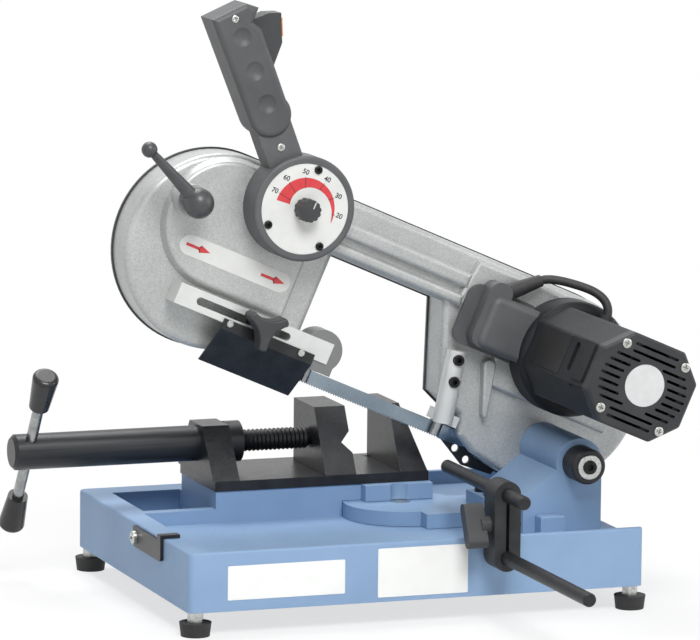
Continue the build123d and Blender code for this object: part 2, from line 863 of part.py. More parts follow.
def draw_bow():
    """Draw the bow's outline in the sketch being built: two wheel housings, the beam and their cheeks."""
    with Locations((idler_u, wheel_v), (drive_u, wheel_v)):
        Circle(housing_radius)
    Polygon(
        (idler_u, beam_top),
        (idler_u, cheek_bottom),
        (throat_left - throat_corner, cheek_bottom),
        (throat_left, cheek_bottom + throat_corner),
        (throat_left, beam_bottom),
        *drive_cheek,
        (drive_u, wheel_v),
        (drive_u, beam_top),
        align=None,
    )
    with Locations(((idler_cheek + throat_left) / 2, cheek_bottom - housing_radius / 2)):
        Rectangle(throat_left - idler_cheek, housing_radius, mode=Mode.SUBTRACT)


def front_edges(piece):
    """Edges of the face of a piece that is nearest the operator."""
    return piece.faces().sort_by(Axis.Y)[0].edges()


with BuildPart() as idler_relief:
    with BuildSketch(bow_plane(bow_front + relief_root)):
        with Locations(idler_panel):
            Circle(idler_panel_radius)
        with Locations(((idler_panel[0] + idler_panel_right) / 2, idler_panel[1])):
            Rectangle(idler_panel_right - idler_panel[0], 2 * idler_panel_radius)
    extrude(amount=panel_rise + relief_root, taper=panel_slope)
    fillet(front_edges(idler_relief), panel_round)

with BuildPart() as drive_relief:
    with BuildSketch(bow_plane(bow_front + relief_root)):
        with BuildLine():
            Polyline(*drive_panel, close=True)
        make_face()
    extrude(amount=drive_panel_rise + relief_root, taper=drive_panel_slope)
    fillet(front_edges(drive_relief), drive_panel_round)

with BuildPart() as beam_ribs:
    for low, high in rib_bands:
        with BuildSketch(bow_plane(bow_front + relief_root)):
            with Locations(((rib_left + rib_right) / 2, (low + high) / 2)):
                Rectangle(rib_right - rib_left, high - low)
        extrude(amount=rib_rise + relief_root)
    fillet(beam_ribs.faces().sort_by(Axis.Y)[0:2].edges(), rib_round)

with BuildPart() as drop_rib:
    with BuildSketch(bow_plane(bow_front + relief_root)):
        with Locations(drop_head):
            Circle(drop_head_radius)
        with Locations(drop_tip):
            Circle(drop_tip_radius)
        make_hull()
    extrude(amount=drop_rise + relief_root)
    fillet(front_edges(drop_rib), drop_round)

with BuildPart() as bow_casting:
    with BuildSketch(bow_plane(bow_back)):
        draw_bow()
    extrude(amount=bow_back - bow_front)
    fillet(front_edges(bow_casting), body_round)
    add(idler_relief.part)
    add(drive_relief.part)
    add(beam_ribs.part)
    add(drop_rib.part)
    with BuildSketch(bow_plane(bow_front)):
        with Locations((lever_u, lever_v)):
            Circle(lever_boss_radius)
    extrude(amount=panel_rise + lever_boss_length)
    with BuildSketch(bow_plane(bow_back)):
        draw_bow()
        offset(amount=-casting_wall)
    extrude(amount=bow_back - pocket_front, mode=Mode.SUBTRACT)
    with BuildSketch(bow_plane(pocket_front)):
        Circle(hinge_pin_radius + 6)
    extrude(amount=-pin_seat)
    with BuildSketch(bow_plane(pocket_front)):
        for middle in (rail_bottom - slide_gap - rail_height / 2, rail_top + slide_gap + rail_height / 2):
            with Locations(((rail_left + rail_inset + rail_right) / 2, middle)):
                Rectangle(rail_right - rail_left - rail_inset, rail_height)
    extrude(amount=-rail_depth)
    with BuildSketch(bow_plane(bow_back)):
        with Locations(*cover_bosses):
            Circle(cover_boss_radius)
    extrude(amount=bow_back - pocket_front)
    with BuildSketch(bow_plane(bow_back)):
        with Locations(*cover_bosses):
            Circle(cover_screw_radius)
    extrude(amount=cover_screw_length, mode=Mode.SUBTRACT)
    with BuildSketch(bow_plane(pin_back)):
        Circle(hinge_pin_radius)
        with Locations((drive_u, wheel_v)):
            Circle(axle_radius + run_gap)
        with Locations((motor_u, motor_v)):
            Circle(pinion_hole)
        with Locations((lever_u, lever_v)):
            Circle(lever_shaft_radius + run_gap)
        with Locations((guide_stud_u, guide_bar_v)):
            Circle(guide_stud_radius + run_gap)
    extrude(amount=pin_back - panel_front + lever_boss_length, mode=Mode.SUBTRACT)
    with BuildSketch(bow_plane(bow_back)):
        with Locations((idler_slot_u, blade_v)):
            Rectangle(slot_length, blade_width)
        with Locations((drive_cheek[3][0] + slot_length / 4, blade_v)):
            Rectangle(slot_length, blade_width + 6)
    extrude(amount=bow_back - blade_y + blade_width, mode=Mode.SUBTRACT)
save(bow_casting, "bow_casting")

# Rear cover: a sheet over the whole back with a tab that carries the blade at the drive end
cover_back = bow_back + cover_thickness
cover_tab = [(-84, -26), (-50, -44), (-20, -42), (-12, -20)]
tab_holes = [(-62, -32), (-48, -38)]
with BuildPart() as rear_cover:
    with BuildSketch(bow_plane(cover_back)):
        draw_bow()
        offset(amount=cover_lip)
        with BuildLine():
            Polyline(*cover_tab, close=True)
        make_face()
        with Locations(*tab_holes):
            Circle(3.5, mode=Mode.SUBTRACT)
        with Locations(*cover_bosses):
            Circle(cover_screw_radius, mode=Mode.SUBTRACT)
    extrude(amount=cover_thickness)
save(rear_cover, "rear_cover")

# Band wheels: a pierced disc with a hub, and a rubber tyre round its rim
wheel_back = blade_y + wheel_width / 2
wheel_front = blade_y - wheel_width / 2
tyre_thickness = 2
rim_thickness = 10
web_thickness = 6
window_radius = 11
window_ring = 37
axle_head_height = 3
axle_head_radius = 12.8
rim_radius = wheel_radius - tyre_thickness


def band_wheel(u, bore):
    """A wheel at (u, wheel_v) with the given bore radius."""
    with BuildPart() as wheel:
        with BuildSketch(bow_plane(wheel_back)):
            with Locations((u, wheel_v)):
                Circle(rim_radius)
                Circle(rim_radius - rim_thickness, mode=Mode.SUBTRACT)
                Circle(hub_radius)
        extrude(amount=wheel_width)
        with BuildSketch(bow_plane(blade_y + web_thickness / 2)):
            with Locations((u, wheel_v)):
                Circle(rim_radius - rim_thickness)
                with PolarLocations(window_ring, 6):
                    Circle(window_radius, mode=Mode.SUBTRACT)
        extrude(amount=web_thickness)
        with BuildSketch(bow_plane(wheel_back)):
            with Locations((u, wheel_v)):
                Circle(bore)
        extrude(amount=wheel_width, mode=Mode.SUBTRACT)
    return wheel


def wheel_tyre(u):
    """The rubber ring round a wheel's rim."""
    with BuildPart() as tyre:
        with BuildSketch(bow_plane(wheel_back)):
            with Locations((u, wheel_v)):
                Circle(wheel_radius)
                Circle(rim_radius, mode=Mode.SUBTRACT)
        extrude(amount=wheel_width)
    return tyre


save(band_wheel(drive_u, axle_radius), "drive_wheel")
save(wheel_tyre(drive_u), "drive_tyre")
save(band_wheel(idler_u, axle_radius + run_gap), "idler_wheel")
save(wheel_tyre(idler_u), "idler_tyre")

# Drive shaft: it turns in the front wall and carries the gear and the wheel
axle_back = wheel_back + slide_gap + axle_head_height
shaft_front = motor_root + slide_gap
with BuildPart() as drive_shaft:
    with BuildSketch(bow_plane(axle_back)):
        with Locations((drive_u, wheel_v)):
            Circle(axle_radius)
    extrude(amount=axle_back - shaft_front)
    with BuildSketch(bow_plane(axle_back)):
        with Locations((drive_u, wheel_v)):
            RegularPolygon(axle_head_radius, 6)
    extrude(amount=axle_head_height)
save(drive_shaft, "drive_shaft")

gear_back = wheel_front - 2
gear_front = gear_back - gear_width
mesh_angle = 90 + gear_lean
root_depth = 1.25 * gear_module


def draw_gear(u, v, teeth, first):
    """Draw a spur gear with straight flanks, one tooth centred at the angle first."""
    tip = gear_module * (teeth / 2 + 1)
    root = gear_module * teeth / 2 - root_depth
    points = []
    for tooth in range(teeth):
        for radius, share in ((root, -0.28), (tip, -0.11), (tip, 0.11), (root, 0.28)):
            angle = math.radians(first + (tooth + share) * 360 / teeth)
            points.append((u + radius * math.cos(angle), v + radius * math.sin(angle)))
    Polygon(*points, align=None)


with BuildPart() as drive_gear:
    with BuildSketch(bow_plane(gear_back)):
        draw_gear(drive_u, wheel_v, gear_teeth, mesh_angle + 180 / gear_teeth)
        with Locations((drive_u, wheel_v)):
            Circle(axle_radius, mode=Mode.SUBTRACT)
    extrude(amount=gear_width)
save(drive_gear, "drive_gear")

# Idler carriage: a plate between two rails, with the axle and a slot for the lever's eccentric pin
carriage_back = pocket_front + rail_depth
carriage_front = pocket_front + slide_gap
eccentric_radius = 2.5
eccentric_play = 0.8
with BuildPart() as idler_carriage:
    with BuildSketch(bow_plane(carriage_back)):
        with Locations(((rail_left + rail_right) / 2, (rail_bottom + rail_top) / 2)):
            Rectangle(rail_right - rail_left, rail_top - rail_bottom)
        with Locations((lever_u, lever_v)):
            SlotOverall(
                2 * (lever_throw + eccentric_radius + eccentric_play),
                2 * (eccentric_radius + eccentric_play),
                rotation=90,
                mode=Mode.SUBTRACT,
            )
    extrude(amount=carriage_back - carriage_front)
    with BuildSketch(bow_plane(axle_back)):
        with Locations((idler_u, wheel_v)):
            Circle(axle_radius)
    extrude(amount=axle_back - carriage_back)
    with BuildSketch(bow_plane(axle_back)):
        with Locations((idler_u, wheel_v)):
            RegularPolygon(axle_head_radius, 6)
    extrude(amount=axle_head_height)
save(idler_carriage, "idler_carriage")

# Blade: a welded loop, flat on the wheels, turned a quarter by the guides and upright in the throat
twist_left = -345
twist_right = -20
cut_left = -236
cut_right = -88
twist_steps = 9
tooth_pitch = 2.5
tooth_depth = 1.3
blade_back = blade_y + blade_width / 2
blade_top = blade_v + blade_width / 2
tooth_count = int((cut_right - cut_left) / tooth_pitch)
teeth_line = []
for tooth in range(tooth_count):
    teeth_line.append((cut_left + tooth * tooth_pitch, tooth_v))
    teeth_line.append((cut_left + (tooth + 0.3) * tooth_pitch, tooth_v + tooth_depth))
with BuildPart() as blade:
    with BuildSketch(bow_plane(blade_back)):
        with Locations(((idler_u + drive_u) / 2, wheel_v)):
            SlotCenterToCenter(wheel_spacing, 2 * (blade_loop_radius + blade_thickness))
            SlotCenterToCenter(wheel_spacing, 2 * blade_loop_radius, mode=Mode.SUBTRACT)
        with Locations(((twist_left + twist_right) / 2, blade_v)):
            Rectangle(twist_right - twist_left, blade_width, mode=Mode.SUBTRACT)
    extrude(amount=blade_width)
    for start, end in ((twist_left, cut_left), (twist_right, cut_right)):
        for step in range(twist_steps + 1):
            share = step / twist_steps
            with BuildSketch(side_plane(start + (end - start) * share, blade_v, blade_y)):
                Rectangle(blade_thickness, blade_width, rotation=90 * (1 - share))
        loft(ruled=True)
    with BuildSketch(bow_plane(blade_y + blade_thickness / 2)):
        with BuildLine():
            Polyline(
                (cut_left, blade_top),
                *teeth_line,
                (cut_right, tooth_v),
                (cut_right, blade_top),
                close=True,
            )
        make_face()
    extrude(amount=blade_thickness)
save(blade, "blade")

# Motor: a round root on the casting, an eight-sided barrel and a vented end cap
barrel_start = 19
root_plate = 6
motor_shaft_radius = 4
rotor_radius = 24
rotor_gap = 1
core_setback = 56
core_length = 70
core_front = motor_end + core_setback
core_back = core_front + core_length
fan_back = core_front - 12
fan_width = 12
fan_radius = 31
fan_blade = 2
cap_hollow = 10
motor_boss_radius = 10
barrel_round = 5
root_round = 8
vent_rows = 5
vent_pitch = 6.67
vent_width = 2.4
vent_reach = 42.5
vent_rim = 23
vent_bow = 55
long_vent = 44
oval_length = 27
oval_width = 8
oval_depth = 3
pad_width = 25
pad_height = 36
pad_rise = 2
side_slot_length = 33
oval_setback = 40.5
side_slot_setback = 13.5
side_slot_rises = (25.4, -22)


def draw_barrel():
    """Draw the barrel's rounded octagon in the sketch being built."""
    with BuildSketch(mode=Mode.PRIVATE) as octagon:
        Rectangle(motor_width, motor_height)
        chamfer(octagon.vertices(), motor_corner)
        fillet(octagon.vertices(), barrel_round)
    with Locations((motor_u, motor_v)):
        add(octagon.sketch)


with BuildPart() as motor_housing:
    with BuildSketch(bow_plane(motor_root)):
        with Locations((motor_u, motor_v)):
            Circle(motor_root_radius)
    extrude(amount=motor_root_length)
    fillet(front_edges(motor_housing), root_round)
    with BuildSketch(bow_plane(motor_root - barrel_start)):
        draw_barrel()
    extrude(amount=motor_length - barrel_start)
    with BuildSketch(side_plane(motor_u - motor_width / 2, motor_v, motor_end)):
        with Locations((oval_setback, 2)):
            SlotOverall(oval_length, oval_width, rotation=90)
        for rise in side_slot_rises:
            with Locations((side_slot_setback, rise)):
                SlotOverall(side_slot_length, vent_width)
    extrude(amount=oval_depth, mode=Mode.SUBTRACT)
    with BuildSketch(side_plane(motor_u - motor_width / 2, motor_v, motor_end)):
        with Locations((pad_width / 2 + 2, 2)):
            RectangleRounded(pad_width, pad_height, pad_rise)
    extrude(amount=-pad_rise)
    with BuildSketch(bow_plane(motor_root - root_plate)):
        with Locations((motor_u, motor_v)):
            Circle(motor_bore)
    extrude(amount=motor_length - root_plate, mode=Mode.SUBTRACT)
    with BuildSketch(bow_plane(motor_root)):
        with Locations((motor_u, motor_v)):
            Circle(motor_shaft_radius + run_gap)
    extrude(amount=root_plate, mode=Mode.SUBTRACT)
save(motor_housing, "motor_housing")

with BuildPart() as motor_stator:
    with BuildSketch(bow_plane(core_back)):
        with Locations((motor_u, motor_v)):
            Circle(motor_bore)
            Circle(rotor_radius + rotor_gap, mode=Mode.SUBTRACT)
    extrude(amount=core_back - core_front)
save(motor_stator, "motor_stator")

with BuildPart() as motor_rotor:
    with BuildSketch(bow_plane(gear_back)):
        draw_gear(motor_u, motor_v, pinion_teeth, mesh_angle + 180)
    extrude(amount=gear_width)
    with BuildSketch(bow_plane(gear_front)):
        with Locations((motor_u, motor_v)):
            Circle(motor_shaft_radius)
    extrude(amount=gear_front - motor_end + cap_hollow / 2)
    with BuildSketch(bow_plane(core_back)):
        with Locations((motor_u, motor_v)):
            Circle(rotor_radius)
    extrude(amount=core_back - core_front)
    with BuildSketch(bow_plane(fan_back)):
        with Locations((motor_u, motor_v)):
            Circle(motor_boss_radius)
            with PolarLocations(fan_radius / 2, 8):
                Rectangle(fan_radius, fan_blade)
    extrude(amount=fan_width)
save(motor_rotor, "motor_rotor")

cap_screw_reach = 30
cap_chamfer = 2
cap_screw_places = [
    (motor_u + side_u * cap_screw_reach, motor_v + side_v * cap_screw_reach)
    for side_u in (-1, 1)
    for side_v in (-1, 1)
]
with BuildPart() as motor_end_cap:
    with BuildSketch(bow_plane(motor_end)):
        draw_barrel()
    extrude(amount=end_cap_length)
    chamfer(front_edges(motor_end_cap), cap_chamfer)
    with BuildSketch(bow_plane(motor_end)):
        with Locations((motor_u, motor_v)):
            Circle(motor_bore)
            Circle(motor_boss_radius, mode=Mode.SUBTRACT)
    extrude(amount=cap_hollow, mode=Mode.SUBTRACT)
    with BuildSketch(bow_plane(motor_end)):
        with Locations((motor_u, motor_v)):
            Circle(motor_shaft_radius + run_gap)
    extrude(amount=cap_hollow, mode=Mode.SUBTRACT)
    with BuildSketch(bow_plane(motor_end - cap_hollow)):
        for row in range(-vent_rows, vent_rows + 1):
            rise = row * vent_pitch
            if abs(rise) > vent_rim:
                with Locations((motor_u, motor_v + rise)):
                    SlotOverall(long_vent, vent_width)
            else:
                inner = math.sqrt(vent_rim**2 - rise**2)
                outer = vent_reach - rise**2 / vent_bow
                for side in (-1, 1):
                    with Locations((motor_u + side * (inner + outer) / 2, motor_v + rise)):
                        SlotOverall(outer - inner, vent_width)
    extrude(amount=end_cap_length, mode=Mode.SUBTRACT)
    with BuildSketch(bow_plane(motor_end)):
        with Locations(*cap_screw_places):
            Circle(cover_screw_radius)
    extrude(amount=end_cap_length, mode=Mode.SUBTRACT)
save(motor_end_cap, "motor_end_cap")

# Switch box beside the motor, with a sleeve and a lead that runs into the motor's top
box_left = -110
box_right = -55
box_bottom = 60
box_top = 110
box_depth = 24
flange_left = -127
flange_depth = 4
gland_left = -115
gland_right = -93
gland_top = 121
gland_depth = 20
box_corner = 9
box_round = 7
flange_corner = 12
gland_corner = 10
with BuildPart() as switch_box:
    with BuildSketch(bow_plane(motor_root)):
        with Locations(((box_left + box_right) / 2, (box_bottom + box_top) / 2)):
            RectangleRounded(box_right - box_left, box_top - box_bottom, box_corner)
    extrude(amount=box_depth)
    fillet(front_edges(switch_box), box_round)
    with BuildSketch(bow_plane(motor_root)):
        with Locations(((flange_left + box_right) / 2, (box_bottom + box_top) / 2)):
            RectangleRounded(box_right - flange_left, box_top - box_bottom + 6, flange_corner)
    extrude(amount=flange_depth)
    with BuildSketch(bow_plane(motor_root)):
        with Locations(((gland_left + gland_right) / 2, (box_bottom + gland_top) / 2)):
            RectangleRounded(gland_right - gland_left, gland_top - box_bottom, gland_corner)
    extrude(amount=gland_depth)
    with BuildSketch(bow_plane(motor_root)):
        with Locations((motor_u, motor_v)):
            Circle(motor_root_radius + slide_gap)
    extrude(amount=box_depth, mode=Mode.SUBTRACT)
save(switch_box, "switch_box")

lead_y = motor_root - gland_depth / 2
sleeve_start = (-98, 112)
sleeve_end = (-70, 136)
sleeve_along = (sleeve_end[0] - sleeve_start[0], sleeve_end[1] - sleeve_start[1])
sleeve_radius = 6.5
grommet_u = motor_u + 8
grommet_v = motor_v + motor_height / 2
grommet_y = motor_root - motor_root_length - 8
grommet_height = 5
lead_run = 11
lead_top = motor_v + 64.5
lead_bend = 9
with BuildPart() as lead_sleeves:
    with BuildSketch(along_plane(*sleeve_start, lead_y, *sleeve_along)):
        Circle(sleeve_radius + 1.5)
    with BuildSketch(along_plane(*sleeve_end, lead_y, *sleeve_along)):
        Circle(sleeve_radius - 1)
    loft()
    with BuildSketch(bow_plane(motor_root)):
        with Locations(((gland_left + gland_right) / 2, (box_bottom + gland_top) / 2)):
            RectangleRounded(gland_right - gland_left, gland_top - box_bottom, gland_corner)
        with Locations(((flange_left + box_right) / 2, (box_bottom + box_top) / 2)):
            Rectangle(box_right - flange_left, box_top - box_bottom + 6)
    extrude(amount=box_depth, mode=Mode.SUBTRACT)
    with BuildSketch(along_plane(grommet_u, grommet_v, grommet_y, 0, 1)):
        Circle(lead_radius + 3)
        Circle(lead_radius, mode=Mode.SUBTRACT)
    extrude(amount=grommet_height)
save(lead_sleeves, "lead_sleeves")


def lead_place(u, v, y):
    """World place of a point of the lead."""
    x, z = bow_point(u, v)
    return x, y, z


sleeve_reach = math.hypot(*sleeve_along)
lead_knee = (
    sleeve_end[0] + sleeve_along[0] * lead_run / sleeve_reach,
    sleeve_end[1] + sleeve_along[1] * lead_run / sleeve_reach,
)
with BuildPart() as motor_lead:
    with BuildLine():
        FilletPolyline(
            lead_place(*sleeve_end, lead_y),
            lead_place(*lead_knee, lead_y),
            lead_place(grommet_u, lead_top, grommet_y),
            lead_place(grommet_u, grommet_v, grommet_y),
            radius=lead_bend,
        )
    with BuildSketch(along_plane(*sleeve_end, lead_y, *sleeve_along)):
        Circle(lead_radius)
    sweep()
save(motor_lead, "motor_lead")

# Speed dial on the idler end, with a stem that carries the pistol grip
face_depth = 2
face_thickness = 1.5
knob_shaft_radius = 4
knob_shaft_depth = 12
speed_knob_radius = 10
speed_knob_length = 15
stem_start = 30
stem_back = panel_front
stem_front = stem_back - 24
dial_screw_ring = 36
dial_screws = [ring_place(0, 0, dial_screw_ring, angle) for angle in (50, 180, 272)]
stem_screw = (-0.4, 57.6)
with BuildPart() as dial_housing:
    with BuildSketch(grip_plane(panel_front)):
        Circle(dial_radius)
    extrude(amount=dial_depth)
    fillet(dial_housing.edges().filter_by(GeomType.CIRCLE).sort_by(Axis.Y)[0], 3)
    with BuildSketch(grip_plane(stem_back)):
        with Locations((0, (stem_start + grip_start) / 2)):
            Rectangle(2 * stem_half_width, grip_start - stem_start)
        with Locations((0, grip_start)):
            Circle(grip_half_width, mode=Mode.SUBTRACT)
    extrude(amount=stem_back - stem_front)
    with BuildSketch(grip_plane(dial_front)):
        Circle(dial_face_radius)
    extrude(amount=-face_depth, mode=Mode.SUBTRACT)
    with BuildSketch(grip_plane(dial_front + face_depth)):
        Circle(knob_shaft_radius + run_gap)
        with Locations(*dial_screws):
            Circle(cover_screw_radius)
    extrude(amount=-knob_shaft_depth, mode=Mode.SUBTRACT)
    with BuildSketch(grip_plane(stem_front)):
        with Locations(stem_screw):
            Circle(cover_screw_radius)
    extrude(amount=-knob_shaft_depth, mode=Mode.SUBTRACT)
save(dial_housing, "dial_housing")

face_back = dial_front + face_depth
face_front = face_back - face_thickness
with BuildPart() as dial_plate:
    with BuildSketch(grip_plane(face_back)):
        Circle(dial_face_radius)
        Circle(knob_shaft_radius + run_gap, mode=Mode.SUBTRACT)
        with Locations(*dial_screws):
            Circle(cover_screw_radius, mode=Mode.SUBTRACT)
    extrude(amount=face_thickness)
save(dial_plate, "dial_plate")

knob_back = face_front - slide_gap
with BuildPart() as speed_knob:
    with BuildSketch(grip_plane(knob_back)):
        Circle(speed_knob_radius)
        with PolarLocations(speed_knob_radius + 1, 12):
            Circle(1.8, mode=Mode.SUBTRACT)
    extrude(amount=speed_knob_length)
    with BuildSketch(grip_plane(face_back + knob_shaft_depth - slide_gap)):
        Circle(knob_shaft_radius)
    extrude(amount=face_back + knob_shaft_depth - slide_gap - knob_back)
save(speed_knob, "speed_knob")

# Screws of one size hold the rear cover, the motor's end cap, the dial and its stem
with BuildPart() as bow_screws:
    with BuildSketch(bow_plane(cover_back)):
        with Locations(*cover_bosses):
            Circle(cover_screw_radius)
    extrude(amount=cover_thickness + cover_screw_length)
    with BuildSketch(bow_plane(cover_back)):
        with Locations(*cover_bosses):
            Circle(screw_head_radius)
    extrude(amount=-screw_head_height)
    with BuildSketch(bow_plane(motor_end)):
        with Locations(*cap_screw_places):
            Circle(cover_screw_radius)
    extrude(amount=end_cap_length)
    with BuildSketch(bow_plane(motor_end - end_cap_length)):
        with Locations(*cap_screw_places):
            Circle(screw_head_radius)
    extrude(amount=screw_head_height)
    with BuildSketch(grip_plane(face_back + knob_shaft_depth)):
        with Locations(*dial_screws):
            Circle(cover_screw_radius)
    extrude(amount=knob_shaft_depth + face_thickness)
    with BuildSketch(grip_plane(face_front)):
        with Locations(*dial_screws):
            Circle(screw_head_radius)
    extrude(amount=screw_head_height)
    with BuildSketch(grip_plane(stem_front + knob_shaft_depth)):
        with Locations(stem_screw):
            Circle(cover_screw_radius)
    extrude(amount=knob_shaft_depth)
    with BuildSketch(grip_plane(stem_front)):
        with Locations(stem_screw):
            Circle(screw_head_radius)
    extrude(amount=screw_head_height)
save(bow_screws, "bow_screws")

# Pistol grip: two shells screwed together round the trigger
grip_right = 18
grip_heel = [
    (-grip_half_width, grip_start),
    (-21.8, 186),
    (12, 188),
    (22, 180),
    (12.5, 170),
    (grip_right, 162),
    (grip_right, grip_start),
]
trigger_pivot = (10, 128)
trigger_pocket = (1, 121, 175)
grip_front_screw = (-2.1, 179)
grip_back_screws = [(-9, 98), (-9, 132)]
grip_screw_bite = 10
grip_round = 5
dimple_radius = 14
dimple_depth = 2.8
dimple_places = [(-0.4, 99), (-1.2, 130), (-2, 162)]
grip_screw_radius = 2
grip_head_radius = 3.6
grip_head_depth = 3


def draw_grip():
    """Draw the grip's outline in the sketch being built."""
    Polygon(*grip_heel, align=None)
    with Locations((0, grip_start)):
        Circle(grip_half_width)


def grip_shell(back, depth, head):
    """One shell of the grip from the depth back towards the operator, head marks the screw-head side."""
    with BuildPart() as shell:
        with BuildSketch(grip_plane(back)):
            draw_grip()
        extrude(amount=depth)
        outer = shell.faces().sort_by(Axis.Y)[0 if head else -1]
        fillet(outer.edges(), grip_round)
        with BuildSketch(grip_plane(grip_middle + trigger_width / 2 + slide_gap)):
            with Locations(((trigger_pocket[0] + 30) / 2, (trigger_pocket[1] + trigger_pocket[2]) / 2)):
                Rectangle(30 - trigger_pocket[0], trigger_pocket[2] - trigger_pocket[1])
        extrude(amount=trigger_width + 2 * slide_gap, mode=Mode.SUBTRACT)
        with BuildSketch(grip_plane(grip_middle + trigger_width / 2 + 4)):
            with Locations(trigger_pivot):
                Circle(trigger_pivot_radius)
        extrude(amount=trigger_width + 8, mode=Mode.SUBTRACT)
        with BuildSketch(grip_plane(grip_middle + grip_screw_bite)):
            with Locations(grip_front_screw):
                Circle(grip_screw_radius)
        extrude(amount=grip_thickness, mode=Mode.SUBTRACT)
        with BuildSketch(grip_plane(grip_middle - grip_screw_bite)):
            with Locations(*grip_back_screws):
                Circle(grip_screw_radius)
        extrude(amount=-grip_thickness, mode=Mode.SUBTRACT)
        if head:
            with BuildSketch(grip_plane(grip_front)):
                with Locations(grip_front_screw):
                    Circle(grip_head_radius)
            extrude(amount=-grip_head_depth, mode=Mode.SUBTRACT)
            for place in dimple_places:
                dimple_plane = grip_plane(grip_front - dimple_radius + dimple_depth)
                with Locations(dimple_plane.from_local_coords((*place, 0))):
                    Sphere(dimple_radius, mode=Mode.SUBTRACT)
        else:
            with BuildSketch(grip_plane(bow_front)):
                with Locations(*grip_back_screws):
                    Circle(grip_head_radius)
            extrude(amount=grip_head_depth, mode=Mode.SUBTRACT)
    return shell


save(grip_shell(grip_middle, grip_thickness / 2, True), "grip_shell_front")
save(grip_shell(bow_front, grip_thickness / 2, False), "grip_shell_back")

with BuildPart() as grip_fasteners:
    with BuildSketch(grip_plane(grip_middle + grip_screw_bite)):
        with Locations(grip_front_screw):
            Circle(grip_screw_radius)
    extrude(amount=grip_screw_bite + grip_thickness / 2 - grip_head_depth)
    with BuildSketch(grip_plane(grip_front + grip_head_depth)):
        with Locations(grip_front_screw):
            Circle(grip_head_radius)
    extrude(amount=grip_head_depth / 2)
    with BuildSketch(grip_plane(bow_front - grip_head_depth)):
        with Locations(*grip_back_screws):
            Circle(grip_screw_radius)
    extrude(amount=grip_screw_bite + grip_thickness / 2 - grip_head_depth)
    with BuildSketch(grip_plane(bow_front - grip_head_depth)):
        with Locations(*grip_back_screws):
            Circle(grip_head_radius)
    extrude(amount=-grip_head_depth / 2)
    with BuildSketch(grip_plane(grip_middle + trigger_width / 2 + 4)):
        with Locations(trigger_pivot):
            Circle(trigger_pivot_radius)
    extrude(amount=trigger_width + 8)
save(grip_fasteners, "grip_fasteners")

trigger_edge = [(7, 123), (18, 125), (33, 142), (41, 167), (30, 171), (7, 171)]
lock_middle = (37, 154.5)
lock_turn = -math.degrees(math.atan2(8, 25))
lock_length = 16
lock_width = 8
lock_inside = 6
lock_outside = 3
lock_normal = (math.cos(math.radians(lock_turn)), math.sin(math.radians(lock_turn)))


def lock_place(reach):
    """A place reach outwards from the trigger's face, in the grip's plane."""
    return lock_middle[0] + lock_normal[0] * reach, lock_middle[1] + lock_normal[1] * reach


with BuildPart() as trigger:
    with BuildSketch(grip_plane(grip_middle + trigger_width / 2)):
        Polygon(*trigger_edge, align=None)
        with Locations(trigger_pivot):
            Circle(trigger_pivot_radius + run_gap, mode=Mode.SUBTRACT)
    extrude(amount=trigger_width)
    with BuildSketch(grip_plane(grip_middle + lock_width / 2 + slide_gap)):
        with Locations(lock_place(-lock_inside)):
            Rectangle(4 * lock_inside, lock_length + 2 * slide_gap, rotation=lock_turn)
    extrude(amount=lock_width + 2 * slide_gap, mode=Mode.SUBTRACT)
save(trigger, "trigger")

with BuildPart() as lock_button:
    with BuildSketch(grip_plane(grip_middle + lock_width / 2)):
        with Locations(lock_place((lock_outside - lock_inside) / 2)):
            Rectangle(lock_inside + lock_outside, lock_length, rotation=lock_turn)
    extrude(amount=lock_width)
save(lock_button, "lock_button")

# Blade guides: each holds the blade between two small rollers under a block
roller_top = blade_top + 1
roller_bottom = tooth_v + tooth_depth
block_bottom = roller_top + slide_gap
block_top = block_bottom + 10
block_length = 13
block_back = blade_y + 12
roller_offset = blade_thickness / 2 + run_gap + roller_radius
roller_pin_radius = 1.5
head_radius = 19
head_u = guide_bar_right - 8
head_front = guide_bar_front + 1.3
slot_left = guide_bar_left + 19
slot_right = guide_bar_right - 41


def roller(u, side):
    """One guide roller at u, on the side of the blade towards (+1) or away from (-1) the back."""
    with BuildPart() as ring:
        with BuildSketch(up_plane(u, roller_bottom, blade_y + side * roller_offset)):
            Circle(roller_radius)
            Circle(roller_pin_radius + run_gap, mode=Mode.SUBTRACT)
        extrude(amount=roller_top - roller_bottom)
    return ring


with BuildPart() as guide_bar:
    with BuildSketch(bow_plane(guide_bar_back)):
        with Locations(((guide_bar_left + guide_bar_right) / 2, guide_bar_v)):
            Rectangle(guide_bar_length, guide_bar_height)
    extrude(amount=guide_bar_thickness)
    with BuildSketch(bow_plane(guide_bar_back)):
        with Locations((head_u, guide_bar_v)):
            Circle(head_radius)
    extrude(amount=guide_bar_back - head_front)
    with BuildSketch(bow_plane(block_back)):
        with Locations((left_guide_u, (block_bottom + block_top) / 2)):
            Rectangle(block_length, block_top - block_bottom)
    extrude(amount=block_back - head_front)
    with BuildSketch(bow_plane(guide_bar_back)):
        with Locations(((slot_left + slot_right) / 2, guide_bar_v)):
            SlotOverall(slot_right - slot_left, guide_slot_width)
    extrude(amount=guide_bar_thickness, mode=Mode.SUBTRACT)
    for side in (-1, 1):
        with BuildSketch(up_plane(left_guide_u, roller_bottom, blade_y + side * roller_offset)):
            Circle(roller_pin_radius)
        extrude(amount=block_top - roller_bottom)
save(guide_bar, "guide_bar")

